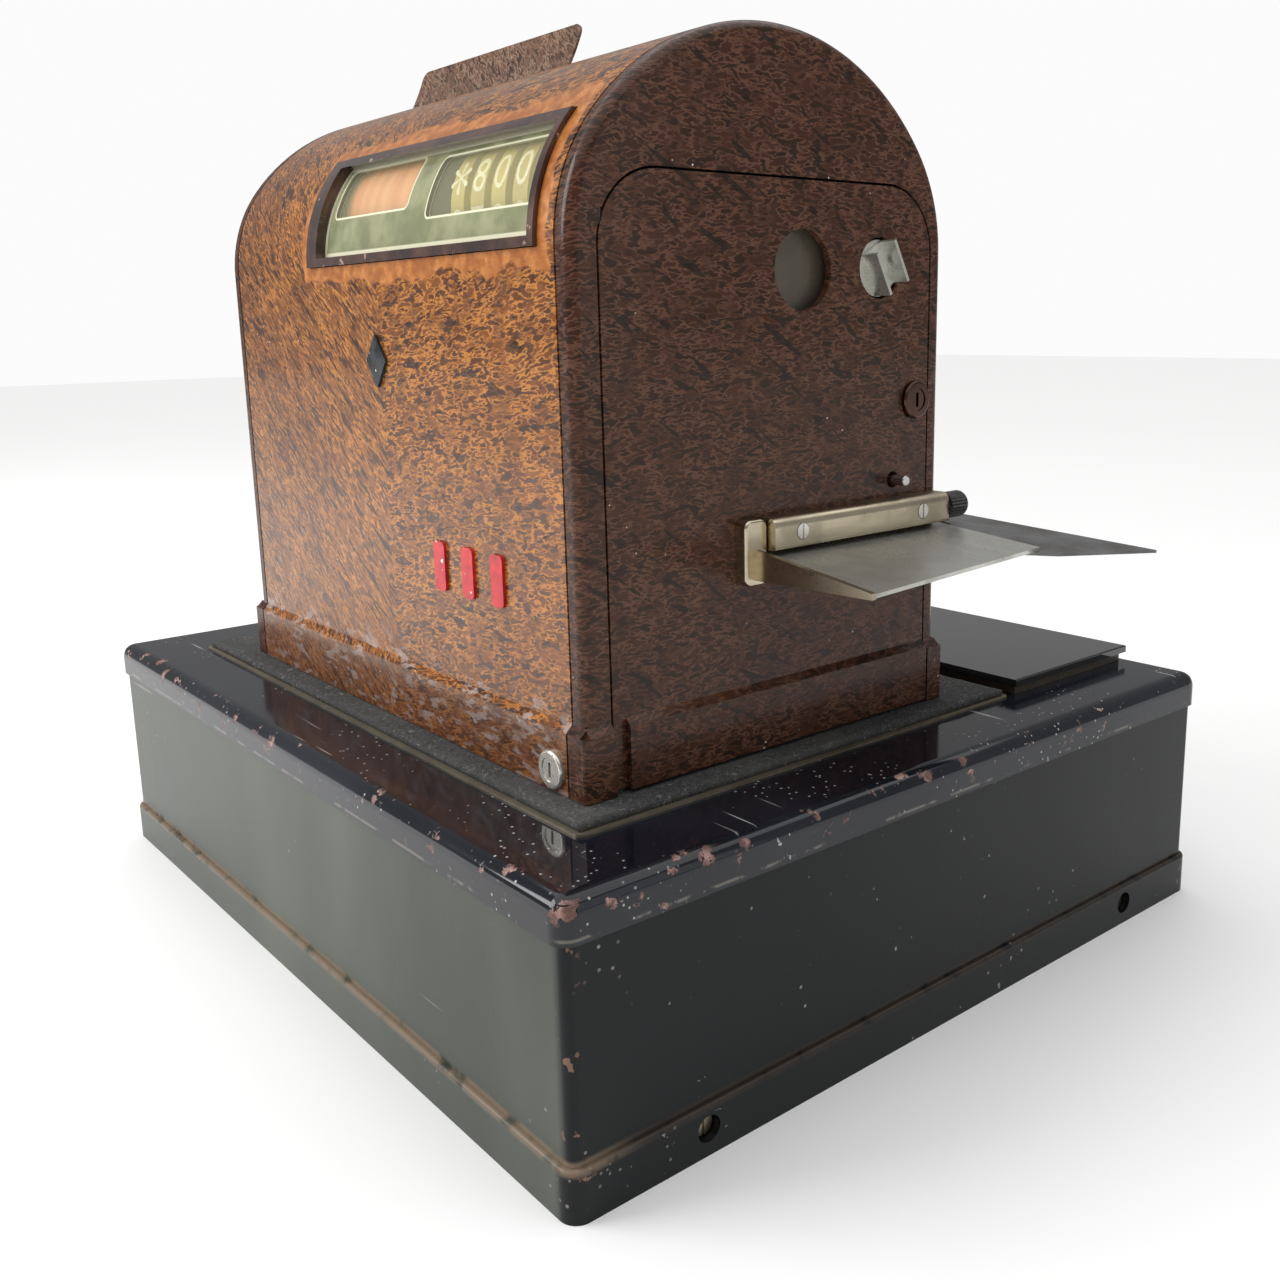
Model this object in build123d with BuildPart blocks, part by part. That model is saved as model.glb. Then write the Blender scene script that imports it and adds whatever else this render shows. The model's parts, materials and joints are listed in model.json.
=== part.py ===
from build123d import *
import os
from math import atan2, cos, degrees, floor, pi, radians, sin, sqrt, tan

# Crank cash register: a sheet-metal till cabinet with a drawer, and an arched housing on top
# that holds the amount levers, the figure drums and the crank gear.
# Frame: origin at the centre of the plinth's underside, +Z up, customer's side +Y,
# operator's side -Y, hinged side door on -X, crank on +X.  Millimetres.

# ---------------------------------------------------------------- driving dimensions
CAB_LENGTH = 560.0        # cabinet body along X
CAB_WIDTH = 480.0         # cabinet body along Y
CAB_TOP = 146.0           # top face of the cover
CAB_SHEET = 2.0           # wall of the cabinet body
CORNER_R = 5.0            # upright corners of the cabinet body
COVER_SHEET = 3.0
COVER_LIP = 20.5
COVER_OVERHANG = 2.5
COVER_EDGE_R = 9.0
PLINTH_HEIGHT = 25.0
PLINTH_OUT = 3.0          # plinth beyond the body
PLINTH_WOOD = 20.0
PLINTH_CORNER_R = 9.0
FLOOR_SHEET = 4.0
CLEAR = 0.3               # gap between fixed neighbours and between sliding faces
RUN_FIT = 0.05            # radial running clearance of shafts

DRAWER_SIDE_SPACE = 34.0  # body's outside to drawer's side
DRAWER_REAR_SPACE = 50.0
DRAWER_BOTTOM = 40.0
DRAWER_HEIGHT = 72.0
DRAWER_WALL = 5.0
FRONT_SHEET = 7.0
FRONT_BOTTOM = 31.0
FRONT_HEIGHT = 86.0
FRONT_GAP = 0.6
TRAY_HEIGHT = 52.0
TRAY_WALL = 5.0
TRAY_COLUMNS = 5
COIN_ROW_DEPTH = 150.0
TRAY_FLOOR = 6.0

SCREW_FROM_CORNER = 72.0  # plinth screws, along the ends
SCREW_Z = 13.5
SCREW_HEAD_R = 5.6
SCREW_SINK_R = 6.5
SCREW_SINK = 8.0

PAD_LEFT = 17.0           # pad beyond the housing
PAD_RIGHT = 56.0
PAD_FRONT = 43.0
PAD_BACK = 17.0
TRAY_SHEET = 1.2
TRAY_RIM = 3.0
PAD_THICK = 4.8

COIN_PLATE_LEFT = 21.0    # plate beyond the housing
COIN_PLATE_RIGHT = 23.0
COIN_PLATE_FRONT = 6.0    # plate inside the body's front
COIN_PLATE_GAP = 8.0      # plate to pad
COIN_PLATE_SHEET = 4.5
COIN_FRAME_HEIGHT = 5.5
COIN_FRAME_INSET = 3.0

HOUSE_X0 = -215.0         # outer face of the left end cap
HOUSE_X1 = 165.0          # outer face of the right end cap
HOUSE_Y = 57.5            # middle plane of the arch
HOUSE_HALF = 122.5        # half depth of the housing
SPRING_Z = 401.0          # where the arch begins
ARCH_RISE = 103.0
SIDE_R = 85.0             # outer arcs of the three-centred arch
WRAP_SHEET = 2.5
BAND_HEIGHT = 31.0
BAND_OUT = 3.5
BAND_SLOPE = 4.0
CAP_DEPTH = 10.0
CAP_PLATE = 4.0
CAP_FLANGE = 3.2
CAP_EDGE_R = 5.5
SEAM = 1.4
SPIGOT_SHEET = 2.0
SPIGOT_REACH = 5.0

DOOR_MARGIN_FRONT = 11.0  # end cap beside the door
DOOR_MARGIN_BACK = 15.5
DOOR_RISE = 33.0          # door's top above the arch's spring
DOOR_CORNER_R = 33.0
DOOR_GAP = 1.2
DOOR_SILL = 1.4
HINGE_INSET = 1.8         # hinge axis inside the door's two outer faces
HINGE_PIN_R = 1.1
HINGE_RELIEF_R = 2.5      # room for the door's edge beside its rounded corner
HINGE_RELIEF = 15.5       # height of that room above the corner's start
HINGE_BAND_SPACE = 5.5    # door's band ends short of the hinge axis, so that the door swings out
SIGHT_FROM_MIDDLE = 16.5
SIGHT_Z = 391.5
SIGHT_R = 19.5
KEY_FROM_EDGE = 39.0      # from the door's free edge
KEY_Z = 393.0
KEY_HOLE_R = 15.5
KEY_LEAN = -28.0
DOOR_LOCK_FROM_EDGE = 10.5
DOOR_LOCK_Z = 324.0
DOOR_LOCK_R = 10.2
PIN_FROM_EDGE = 27.0
PIN_Z = 282.0
PIN_R = 2.8
PIN_HOLE_R = 4.5
LOCK_BORE_R = 6.0
LOCK_FROM_END = 23.0      # customer's lock
LOCK_HEIGHT = 11.0
LOCK_R = 9.7

BAR_OVERLAP = 5.5         # bar past the door's free edge
BAR_LENGTH = 141.5
BAR_Z0 = 257.0
BAR_HEIGHT = 16.0
BAR_OUT = 13.0
SHELF_REACH = 84.0
SHELF_SHEET = 2.0
BRACKET_FOOT = 8.0        # bracket's foot on the door
GUSSET_SHEET = 3.0
SHELF_SCREW_R = 4.0
SHELF_WALL_Z = 255.0
SHELF_FALL = 5.0          # degrees, falling away from the door
EXTENSION_SHEET = 1.6
KNOB_R = 7.4
KNOB_LENGTH = 15.0

WINDOW_FROM_END = 29.0
WINDOW_LENGTH = 218.0
WINDOW_RISE = 5.0         # window's bottom above the arch's spring
WINDOW_HEIGHT = 50.0
FRAME_RIM = 5.0
FRAME_END = 13.0
FRAME_PROUD = 2.2
FRAME_DEPTH = 7.0
GLASS_SHEET = 2.5
GLASS_INSET = 3.5

LEVER_COUNT = 5
LEVER_BACK = 22.5         # lever axis in front of the housing's middle plane
LEVER_DROP = 9.0          # lever axis under the arch's spring
DRUM_FROM_FRAME = 18.0    # last drum's middle from the left frame
DRUM_PITCH = 19.0
DRUM_R = 38.5
DRUM_WIDTH = 12.5
GEAR_MODULE = 2.5
GEAR_RATIO = 4.5          # lever sector to drum pinion
MESH_SPAN = 96.25         # most from lever axis to drum axis, before rounding down to whole teeth
MESH_ANGLE = 19.0         # drum axis seen from the lever axis, above +Y
DIGIT_STEP = 8.0          # lever degrees for one figure
LEVER_TOP = 62.0          # lever at nought, degrees above -Y
LEVER_REST = [0, 8, 0, 0, 0]  # figure shown by each drum
LEVER_SHEET = 2.4
LEVER_OUT = 27.0          # levers beyond the numeral plate's inner face
SHAFT_R = 4.0
SECTOR_OFFSET = 8.2       # sector plane beside its drum
SLOT_WIDTH = 3.4
LEVER_PLATE_INSET = 1.0
LEVER_PLATE_SHEET = 5.0
PLATE_MARGIN = 8.0        # degrees beyond the levers' travel
LEVER_CUT = 12.0          # wrapper's opening inside and outside the numeral plate

FRAME_SHEET = 3.0
FRAME_INSET = 9.0
LEFT_FRAME_SPACE = 23.0   # end cap's face to frame
CENTRE_FRAME_SPACE = 22.0 # first drum's middle to centre frame
RIGHT_FRAME_SPACE = 58.0
TIE_R = 4.0

FLAG_FROM_FRAME = 16.0
FLAG_LENGTH = 87.0
FLAG_R = 38.5

LOZENGE_FROM_END = 182.0  # badges on the customer's face
LOZENGE_Z = 350.0
BADGE_BARS_FROM_END = 125.0
BADGE_BAR_PITCH = 28.0
BADGE_BARS_Z = 246.0

CRANK_Z = 300.0
CRANK_SHAFT_R = 6.0
CRANK_ARM = 95.0
CRANK_ARM_SHEET = 8.0
CRANK_GAP = 20.0          # arm outside the end cap
GRIP_LENGTH = 72.0
GRIP_R = 13.0
TRAIN_MODULE = 2.0
CRANK_TEETH = 20
MAIN_TEETH = 50
GEAR_WIDTH = 8.0
GEAR_FROM_FRAME = 15.0
STUD_R = 5.0

LID_FROM_END = 15.0
LID_LENGTH = 186.0
LID_BACK = 2.5            # hinge in front of the crown
LID_SPAN = 34.0
LID_SHEET = 1.6
LID_LIFT = 0.6            # closed lid above the wrapper
LID_KNUCKLE_R = 1.1       # rolled edge on the hinge line
LID_OPEN = 122.0
LID_LAP = 4.0             # lid beyond its opening

ROLL_FROM_FRAME = 22.0
ROLL_LENGTH = 65.0
ROLL_R = 26.0
ROLL_DROP = 52.0          # roll's axis under the crown

BELL_FROM_SIDE = 65.0
BELL_FROM_BACK = 35.0
BELL_R = 26.0

# ---------------------------------------------------------------- worked-out places
HOUSE_Z0 = CAB_TOP + TRAY_SHEET + PAD_THICK
HOUSE_FRONT = HOUSE_Y - HOUSE_HALF
HOUSE_BACK = HOUSE_Y + HOUSE_HALF
DRAWER_WIDTH = CAB_LENGTH - 2 * DRAWER_SIDE_SPACE
DRAWER_REAR = CAB_WIDTH / 2 - DRAWER_REAR_SPACE
SCREW_Y = CAB_WIDTH / 2 - SCREW_FROM_CORNER
PAD_X0 = HOUSE_X0 - PAD_LEFT
PAD_X1 = HOUSE_X1 + PAD_RIGHT
PAD_Y0 = HOUSE_FRONT - PAD_FRONT
PAD_Y1 = HOUSE_BACK + PAD_BACK
COIN_PLATE_X0 = HOUSE_X0 - COIN_PLATE_LEFT
COIN_PLATE_X1 = HOUSE_X1 + COIN_PLATE_RIGHT
COIN_PLATE_Y0 = -CAB_WIDTH / 2 + COIN_PLATE_FRONT
COIN_PLATE_Y1 = PAD_Y0 - COIN_PLATE_GAP
DOOR_Y0 = HOUSE_FRONT + DOOR_MARGIN_FRONT
DOOR_Y1 = HOUSE_BACK - DOOR_MARGIN_BACK
DOOR_TOP = SPRING_Z + DOOR_RISE
SIGHT_Y = HOUSE_Y - SIGHT_FROM_MIDDLE
KEY_Y = DOOR_Y0 + KEY_FROM_EDGE
DOOR_LOCK_Y = DOOR_Y0 + DOOR_LOCK_FROM_EDGE
PIN_Y = DOOR_Y0 + PIN_FROM_EDGE
LOCK_X = HOUSE_X0 + LOCK_FROM_END
LOCK_Z = HOUSE_Z0 + LOCK_HEIGHT
BAR_Y0 = DOOR_Y0 - BAR_OVERLAP
BAR_Y1 = BAR_Y0 + BAR_LENGTH
WINDOW_X0 = HOUSE_X0 + WINDOW_FROM_END
WINDOW_X1 = WINDOW_X0 + WINDOW_LENGTH
WINDOW_Z0 = SPRING_Z + WINDOW_RISE
WINDOW_Z1 = WINDOW_Z0 + WINDOW_HEIGHT
LEVER_Y = HOUSE_Y - LEVER_BACK
LEVER_Z = SPRING_Z - LEVER_DROP
LEVER_PLATE_R = HOUSE_HALF - LEVER_BACK - LEVER_PLATE_INSET
LEVER_REACH = LEVER_PLATE_R + LEVER_OUT
LEFT_FRAME_X = HOUSE_X0 + LEFT_FRAME_SPACE
DRUM_X0 = LEFT_FRAME_X + DRUM_FROM_FRAME + (LEVER_COUNT - 1) * DRUM_PITCH
CENTRE_FRAME_X = DRUM_X0 + CENTRE_FRAME_SPACE
RIGHT_FRAME_X = HOUSE_X1 - RIGHT_FRAME_SPACE
FLAG_X0 = CENTRE_FRAME_X + FLAG_FROM_FRAME
FLAG_X1 = FLAG_X0 + FLAG_LENGTH
GEAR_X = RIGHT_FRAME_X + GEAR_FROM_FRAME
LID_X1 = HOUSE_X1 - LID_FROM_END
LID_X0 = LID_X1 - LID_LENGTH
LID_HINGE_Y = HOUSE_Y - LID_BACK
ROLL_X1 = RIGHT_FRAME_X - ROLL_FROM_FRAME
ROLL_X0 = ROLL_X1 - ROLL_LENGTH
ROLL_Y = HOUSE_Y
ROLL_Z = SPRING_Z + ARCH_RISE - ROLL_DROP
BELL_X = CAB_LENGTH / 2 - BELL_FROM_SIDE
BELL_Y = CAB_WIDTH / 2 - BELL_FROM_BACK
COVER_BOTTOM = CAB_TOP - COVER_SHEET
SIDE_OFFSET = HOUSE_HALF - SIDE_R
CROWN_R = (SIDE_OFFSET ** 2 + ARCH_RISE ** 2 - SIDE_R ** 2) / (2 * (ARCH_RISE - SIDE_R))
CROWN_Z = SPRING_Z + ARCH_RISE - CROWN_R
JOIN_ANGLE = degrees(atan2(SPRING_Z - CROWN_Z, SIDE_OFFSET))
WRAP_X0 = HOUSE_X0 + CAP_DEPTH + SEAM
WRAP_X1 = HOUSE_X1 - CAP_DEPTH - SEAM
BODY_IN_X = CAB_LENGTH / 2 - CAB_SHEET
BODY_IN_Y = CAB_WIDTH / 2 - CAB_SHEET
HINGE_X = HOUSE_X0 + HINGE_INSET
HINGE_Y = DOOR_Y1 - HINGE_INSET
PINION_TEETH = 2 * floor(MESH_SPAN / GEAR_MODULE / (GEAR_RATIO + 1))
SECTOR_TEETH = int(GEAR_RATIO * PINION_TEETH)
MESH_DISTANCE = GEAR_MODULE * (SECTOR_TEETH + PINION_TEETH) / 2
DRUM_Y = LEVER_Y + MESH_DISTANCE * cos(radians(MESH_ANGLE))
DRUM_Z = LEVER_Z + MESH_DISTANCE * sin(radians(MESH_ANGLE))
MAIN_Z = CRANK_Z - TRAIN_MODULE * (CRANK_TEETH + MAIN_TEETH) / 2
ARM_X = HOUSE_X1 + CRANK_GAP
LID_HINGE_R = CROWN_R + LID_LIFT + LID_SHEET / 2

os.makedirs("parts", exist_ok=True)


# ---------------------------------------------------------------- helpers
def keep(builder, label):
    """Name a finished piece and write it."""
    builder.part.label = label
    export_step(builder.part, f"parts/{label}.step")


def block(x0, x1, y0, y1, z0, z1, mode=Mode.ADD):
    """A box between two corners."""
    with Locations(((x0 + x1) / 2, (y0 + y1) / 2, (z0 + z1) / 2)):
        Box(x1 - x0, y1 - y0, z1 - z0, mode=mode)


def rod(start, direction, radius, length, mode=Mode.ADD):
    """A cylinder from a point along a direction."""
    with Locations(Plane(origin=start, z_dir=direction)):
        Cylinder(radius, length, align=(Align.CENTER, Align.CENTER, Align.MIN), mode=mode)


def polar(centre, radius, angle):
    """A point on a circle in a sketch, angle in degrees from the sketch's x."""
    return (centre[0] + radius * cos(radians(angle)), centre[1] + radius * sin(radians(angle)))


def arc(centre, radius, start, end):
    """An arc in the open sketch line."""
    middle = (start + end) / 2
    ThreePointArc(polar(centre, radius, start), polar(centre, radius, middle),
                  polar(centre, radius, end))


def arch_face(inset, x, bottom=HOUSE_Z0):
    """The housing's arched section at x, offset inwards by inset."""
    crown = (HOUSE_Y, CROWN_Z)
    right = (HOUSE_Y + SIDE_OFFSET, SPRING_Z)
    left = (HOUSE_Y - SIDE_OFFSET, SPRING_Z)
    half = HOUSE_HALF - inset
    with BuildSketch(Plane.YZ.offset(x)) as face:
        with BuildLine():
            Line((HOUSE_Y + half, bottom), (HOUSE_Y + half, SPRING_Z))
            arc(right, SIDE_R - inset, 0, JOIN_ANGLE)
            arc(crown, CROWN_R - inset, JOIN_ANGLE, 180 - JOIN_ANGLE)
            arc(left, SIDE_R - inset, 180 - JOIN_ANGLE, 180)
            Line((HOUSE_Y - half, SPRING_Z), (HOUSE_Y - half, bottom))
            Line((HOUSE_Y - half, bottom), (HOUSE_Y + half, bottom))
        make_face()
    return face.sketch


def arch_slab(inset, xa, xb, bottom=HOUSE_Z0, mode=Mode.ADD):
    """The arched section filled between two stations."""
    extrude(arch_face(inset, min(xa, xb), bottom), amount=abs(xb - xa), mode=mode)


def ring_sector_face(x, centre, inner, outer, start, end):
    """Part of a flat ring in the YZ plane at x."""
    with BuildSketch(Plane.YZ.offset(x)) as face:
        with BuildLine():
            arc(centre, outer, start, end)
            Line(polar(centre, outer, end), polar(centre, inner, end))
            arc(centre, inner, end, start)
            Line(polar(centre, inner, start), polar(centre, outer, start))
        make_face()
    return face.sketch


def gear_outline(centre, teeth, module, first_angle, count):
    """Points of involute teeth on a circle, the first tooth's middle at first_angle."""
    addendum = 0.8 * module
    dedendum = 1.1 * module
    backlash = 0.24
    pitch_r = module * teeth / 2
    base_r = pitch_r * cos(radians(20))
    tip_r = pitch_r + addendum
    root_r = pitch_r - dedendum
    low_r = max(base_r, root_r + 0.05)
    step = 360 / teeth
    half_pitch = degrees(pi / (2 * teeth) - backlash / (2 * pitch_r))

    def flank(radius):
        turn = sqrt((radius / base_r) ** 2 - 1)
        pitch_turn = tan(radians(20))
        roll = turn - atan2(turn, 1)
        pitch_roll = pitch_turn - radians(20)
        return half_pitch - degrees(roll - pitch_roll)

    radii = [low_r + (tip_r - low_r) * share for share in (0, 0.3, 0.65, 1)]
    points = []
    for number in range(count):
        middle = first_angle + number * step
        points.append(polar(centre, root_r, middle - flank(low_r)))
        points += [polar(centre, radius, middle - flank(radius)) for radius in radii]
        points += [polar(centre, radius, middle + flank(radius)) for radius in reversed(radii)]
        points.append(polar(centre, root_r, middle + flank(low_r)))
    return points


def band_profile(plane, edge, out, low, outward):
    """Section of the bottom band: a flat with a slanted top, standing out by `out`."""
    with BuildSketch(plane) as face:
        with BuildLine():
            Polyline((edge, low), (edge + outward * out, low),
                     (edge + outward * out, low + BAND_HEIGHT),
                     (edge, low + BAND_HEIGHT + BAND_SLOPE), close=True)
        make_face()
    return face.sketch


def band_along_x(x0, x1, edge_y, outward, low=HOUSE_Z0):
    """Bottom band on a customer's or operator's face."""
    inner = edge_y - outward * 0.5
    extrude(band_profile(Plane.YZ.offset(x0), inner, BAND_OUT + 0.5, low, outward), amount=x1 - x0)


def band_along_y(y0, y1, edge_x, outward, low=HOUSE_Z0):
    """Bottom band on an end face."""
    inner = edge_x - outward * 0.5
    plane = Plane(origin=(0, y1, 0), x_dir=(1, 0, 0), z_dir=(0, -1, 0))
    extrude(band_profile(plane, inner, BAND_OUT + 0.5, low, outward), amount=y1 - y0)


# ---------------------------------------------------------------- cabinet
def make_plinth():
    with BuildPart() as plinth:
        with BuildSketch():
            RectangleRounded(CAB_LENGTH + 2 * PLINTH_OUT, CAB_WIDTH + 2 * PLINTH_OUT, PLINTH_CORNER_R)
            Rectangle(CAB_LENGTH - 2 * PLINTH_WOOD, CAB_WIDTH - 2 * PLINTH_WOOD, mode=Mode.SUBTRACT)
        extrude(amount=PLINTH_HEIGHT)
        outer_top = plinth.faces().sort_by(Axis.Z)[-1].outer_wire().edges()
        fillet(outer_top, radius=2.2)
        for side in (-1, 1):
            face_x = side * (CAB_LENGTH / 2 + PLINTH_OUT)
            for y in (-SCREW_Y, SCREW_Y):
                rod((face_x, y, SCREW_Z), (-side, 0, 0), SCREW_SINK_R, SCREW_SINK, Mode.SUBTRACT)
    keep(plinth, "plinth")


def make_plinth_screws():
    head = 3.5
    slot = 1.4
    with BuildPart() as screws:
        for side in (-1, 1):
            sink_x = side * (CAB_LENGTH / 2 + PLINTH_OUT - SCREW_SINK)
            for y in (-SCREW_Y, SCREW_Y):
                rod((sink_x, y, SCREW_Z), (side, 0, 0), SCREW_HEAD_R, head)
                face_x = sink_x + side * head
                block(face_x - slot / 2, face_x + slot / 2, y - slot / 2, y + slot / 2,
                      SCREW_Z - SCREW_HEAD_R, SCREW_Z + SCREW_HEAD_R, Mode.SUBTRACT)
    keep(screws, "plinth_screws")


def make_cabinet_body():
    opening_half = DRAWER_WIDTH / 2 + 2
    with BuildPart() as body:
        with BuildSketch(Plane.XY.offset(PLINTH_HEIGHT)):
            RectangleRounded(CAB_LENGTH, CAB_WIDTH, CORNER_R)
            RectangleRounded(2 * BODY_IN_X, 2 * BODY_IN_Y, CORNER_R - CAB_SHEET, mode=Mode.SUBTRACT)
        extrude(amount=COVER_BOTTOM - PLINTH_HEIGHT)
        block(-opening_half, opening_half, -CAB_WIDTH / 2 - 1, -BODY_IN_Y + 1,
              FRONT_BOTTOM, FRONT_BOTTOM + FRONT_HEIGHT, Mode.SUBTRACT)
    keep(body, "cabinet_body")


def make_cabinet_cover():
    length = CAB_LENGTH + 2 * COVER_OVERHANG
    width = CAB_WIDTH + 2 * COVER_OVERHANG
    with BuildPart() as cover:
        with BuildSketch(Plane.XY.offset(CAB_TOP - COVER_LIP)):
            RectangleRounded(length, width, COVER_EDGE_R)
        extrude(amount=COVER_LIP)
        fillet(cover.faces().sort_by(Axis.Z)[-1].edges(), radius=COVER_EDGE_R - 0.5)
        with BuildSketch(Plane.XY.offset(CAB_TOP - COVER_LIP)):
            RectangleRounded(CAB_LENGTH + 2 * CLEAR, CAB_WIDTH + 2 * CLEAR, CORNER_R + CLEAR)
        extrude(amount=COVER_LIP - COVER_SHEET, mode=Mode.SUBTRACT)
    keep(cover, "cabinet_cover")


def make_base_board():
    """Wooden bottom: it fills the plinth ring and carries a thinner board inside the body."""
    ring_half_x = CAB_LENGTH / 2 - PLINTH_WOOD - CLEAR
    ring_half_y = CAB_WIDTH / 2 - PLINTH_WOOD - CLEAR
    with BuildPart() as board:
        block(-ring_half_x, ring_half_x, -ring_half_y, ring_half_y, 0, PLINTH_HEIGHT)
        with BuildSketch(Plane.XY.offset(PLINTH_HEIGHT)):
            RectangleRounded(2 * (BODY_IN_X - CLEAR), 2 * (BODY_IN_Y - CLEAR), CORNER_R - CAB_SHEET)
        extrude(amount=FLOOR_SHEET)
    keep(board, "base_board")


def make_drawer_runners():
    half = DRAWER_WIDTH / 2
    shelf = 4.0
    front = -BODY_IN_Y + 12
    with BuildPart() as runners:
        for side in (-1, 1):
            inner, guide, outer = half - 10, half + 1.5, BODY_IN_X - CLEAR
            xs = sorted((side * inner, side * outer))
            block(xs[0], xs[1], front, BODY_IN_Y - 12, DRAWER_BOTTOM - CLEAR - shelf,
                  DRAWER_BOTTOM - CLEAR)
            xs = sorted((side * guide, side * (guide + shelf)))
            block(xs[0], xs[1], front, BODY_IN_Y - 12, DRAWER_BOTTOM - CLEAR - 1, DRAWER_BOTTOM + 20)
            xs = sorted((side * (outer - shelf), side * outer))
            block(xs[0], xs[1], front, BODY_IN_Y - 12, PLINTH_HEIGHT + FLOOR_SHEET,
                  DRAWER_BOTTOM - CLEAR)
    keep(runners, "drawer_runners")


def make_till_bell():
    rise = 14.0
    sheet = 2.0
    rim_z = COVER_BOTTOM - 24
    with BuildPart() as bell:
        with BuildSketch(Plane(origin=(BELL_X, BELL_Y, 0), x_dir=(1, 0, 0), z_dir=(0, -1, 0))):
            with BuildLine():
                Line((0, rim_z + rise), (0, rim_z + rise - sheet))
                ThreePointArc((0, rim_z + rise - sheet), (BELL_R * 0.62, rim_z + rise * 0.66 - sheet),
                              (BELL_R - sheet, rim_z))
                Line((BELL_R - sheet, rim_z), (BELL_R, rim_z))
                ThreePointArc((BELL_R, rim_z), (BELL_R * 0.68, rim_z + rise * 0.72), (0, rim_z + rise))
            make_face()
        revolve(axis=Axis((BELL_X, BELL_Y, 0), (0, 0, 1)))
        rod((BELL_X, BELL_Y, rim_z + rise), (0, 0, 1), 4, COVER_BOTTOM - rim_z - rise)
    keep(bell, "till_bell")


def make_coin_plate():
    top = CAB_TOP + COIN_FRAME_HEIGHT
    with BuildPart() as plate:
        block(COIN_PLATE_X0, COIN_PLATE_X1, COIN_PLATE_Y0, COIN_PLATE_Y1, top, top + COIN_PLATE_SHEET)
        fillet(plate.faces().sort_by(Axis.Z)[-1].edges(), radius=1.0)
    keep(plate, "coin_plate")
    with BuildPart() as frame:
        block(COIN_PLATE_X0 + COIN_FRAME_INSET, COIN_PLATE_X1 - COIN_FRAME_INSET,
              COIN_PLATE_Y0 + COIN_FRAME_INSET, COIN_PLATE_Y1 - COIN_FRAME_INSET, CAB_TOP, top)
    keep(frame, "coin_plate_frame")


def make_base_pad():
    with BuildPart() as tray:
        block(PAD_X0 - TRAY_RIM, PAD_X1 + TRAY_RIM, PAD_Y0 - TRAY_RIM, PAD_Y1 + TRAY_RIM,
              CAB_TOP, CAB_TOP + TRAY_SHEET)
        fillet(tray.edges().filter_by(Axis.Z), radius=4)
    keep(tray, "pad_tray")
    with BuildPart() as pad:
        block(PAD_X0, PAD_X1, PAD_Y0, PAD_Y1, CAB_TOP + TRAY_SHEET, HOUSE_Z0)
        fillet(pad.edges().filter_by(Axis.Z), radius=3)
    keep(pad, "base_pad")


# ---------------------------------------------------------------- drawer
def make_drawer():
    half = DRAWER_WIDTH / 2
    face_y = -CAB_WIDTH / 2
    box_front = face_y + FRONT_SHEET
    with BuildPart() as box:
        block(-half, half, box_front, DRAWER_REAR, DRAWER_BOTTOM, DRAWER_BOTTOM + DRAWER_HEIGHT)
        block(-half + DRAWER_WALL, half - DRAWER_WALL, box_front + DRAWER_WALL,
              DRAWER_REAR - DRAWER_WALL, DRAWER_BOTTOM + DRAWER_WALL,
              DRAWER_BOTTOM + DRAWER_HEIGHT + 1, Mode.SUBTRACT)
    keep(box, "drawer_box")

    with BuildPart() as front:
        block(-half - 2 + FRONT_GAP, half + 2 - FRONT_GAP, face_y, box_front,
              FRONT_BOTTOM + FRONT_GAP, FRONT_BOTTOM + FRONT_HEIGHT - FRONT_GAP)
        fillet(front.faces().sort_by(Axis.Y)[0].edges(), radius=1.5)
    keep(front, "drawer_front")

    inner_half = half - DRAWER_WALL - CLEAR
    tray_y0 = box_front + DRAWER_WALL + CLEAR
    tray_y1 = DRAWER_REAR - DRAWER_WALL - CLEAR
    tray_z0 = DRAWER_BOTTOM + DRAWER_WALL
    cup_width = (2 * inner_half - TRAY_WALL) / TRAY_COLUMNS - TRAY_WALL
    with BuildPart() as tray:
        block(-inner_half, inner_half, tray_y0, tray_y1, tray_z0, tray_z0 + TRAY_HEIGHT)
        for column in range(TRAY_COLUMNS):
            x0 = -inner_half + TRAY_WALL + column * (cup_width + TRAY_WALL)
            coin_back = tray_y0 + COIN_ROW_DEPTH
            block(x0, x0 + cup_width, tray_y0 + TRAY_WALL, coin_back - TRAY_WALL,
                  tray_z0 + TRAY_FLOOR, tray_z0 + TRAY_HEIGHT + 1, Mode.SUBTRACT)
            block(x0, x0 + cup_width, coin_back, tray_y1 - TRAY_WALL,
                  tray_z0 + TRAY_FLOOR, tray_z0 + TRAY_HEIGHT + 1, Mode.SUBTRACT)
    keep(tray, "coin_tray")

    pull_half = 45.0
    pull_out = 11.0
    pull_z = FRONT_BOTTOM + FRONT_HEIGHT / 2
    with BuildPart() as pull:
        rod((-pull_half, face_y - pull_out, pull_z), (1, 0, 0), 4.5, 2 * pull_half)
        for x in (-pull_half + 8, pull_half - 8):
            rod((x, face_y, pull_z), (0, -1, 0), 4, pull_out)
            rod((x, face_y, pull_z), (0, -1, 0), 8, 2)
    keep(pull, "drawer_pull")


# ---------------------------------------------------------------- housing shell
def lever_plate_angles():
    """Where the numeral plate begins and ends, seen from the lever axis."""
    bottom = 180 - LEVER_TOP + 9 * DIGIT_STEP + PLATE_MARGIN
    top = 180 - LEVER_TOP - PLATE_MARGIN
    return top, bottom


def lever_plate_ends():
    x0 = DRUM_X0 - (LEVER_COUNT - 1) * DRUM_PITCH + SECTOR_OFFSET - 12
    x1 = DRUM_X0 + SECTOR_OFFSET + 16
    return x0, x1


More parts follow.
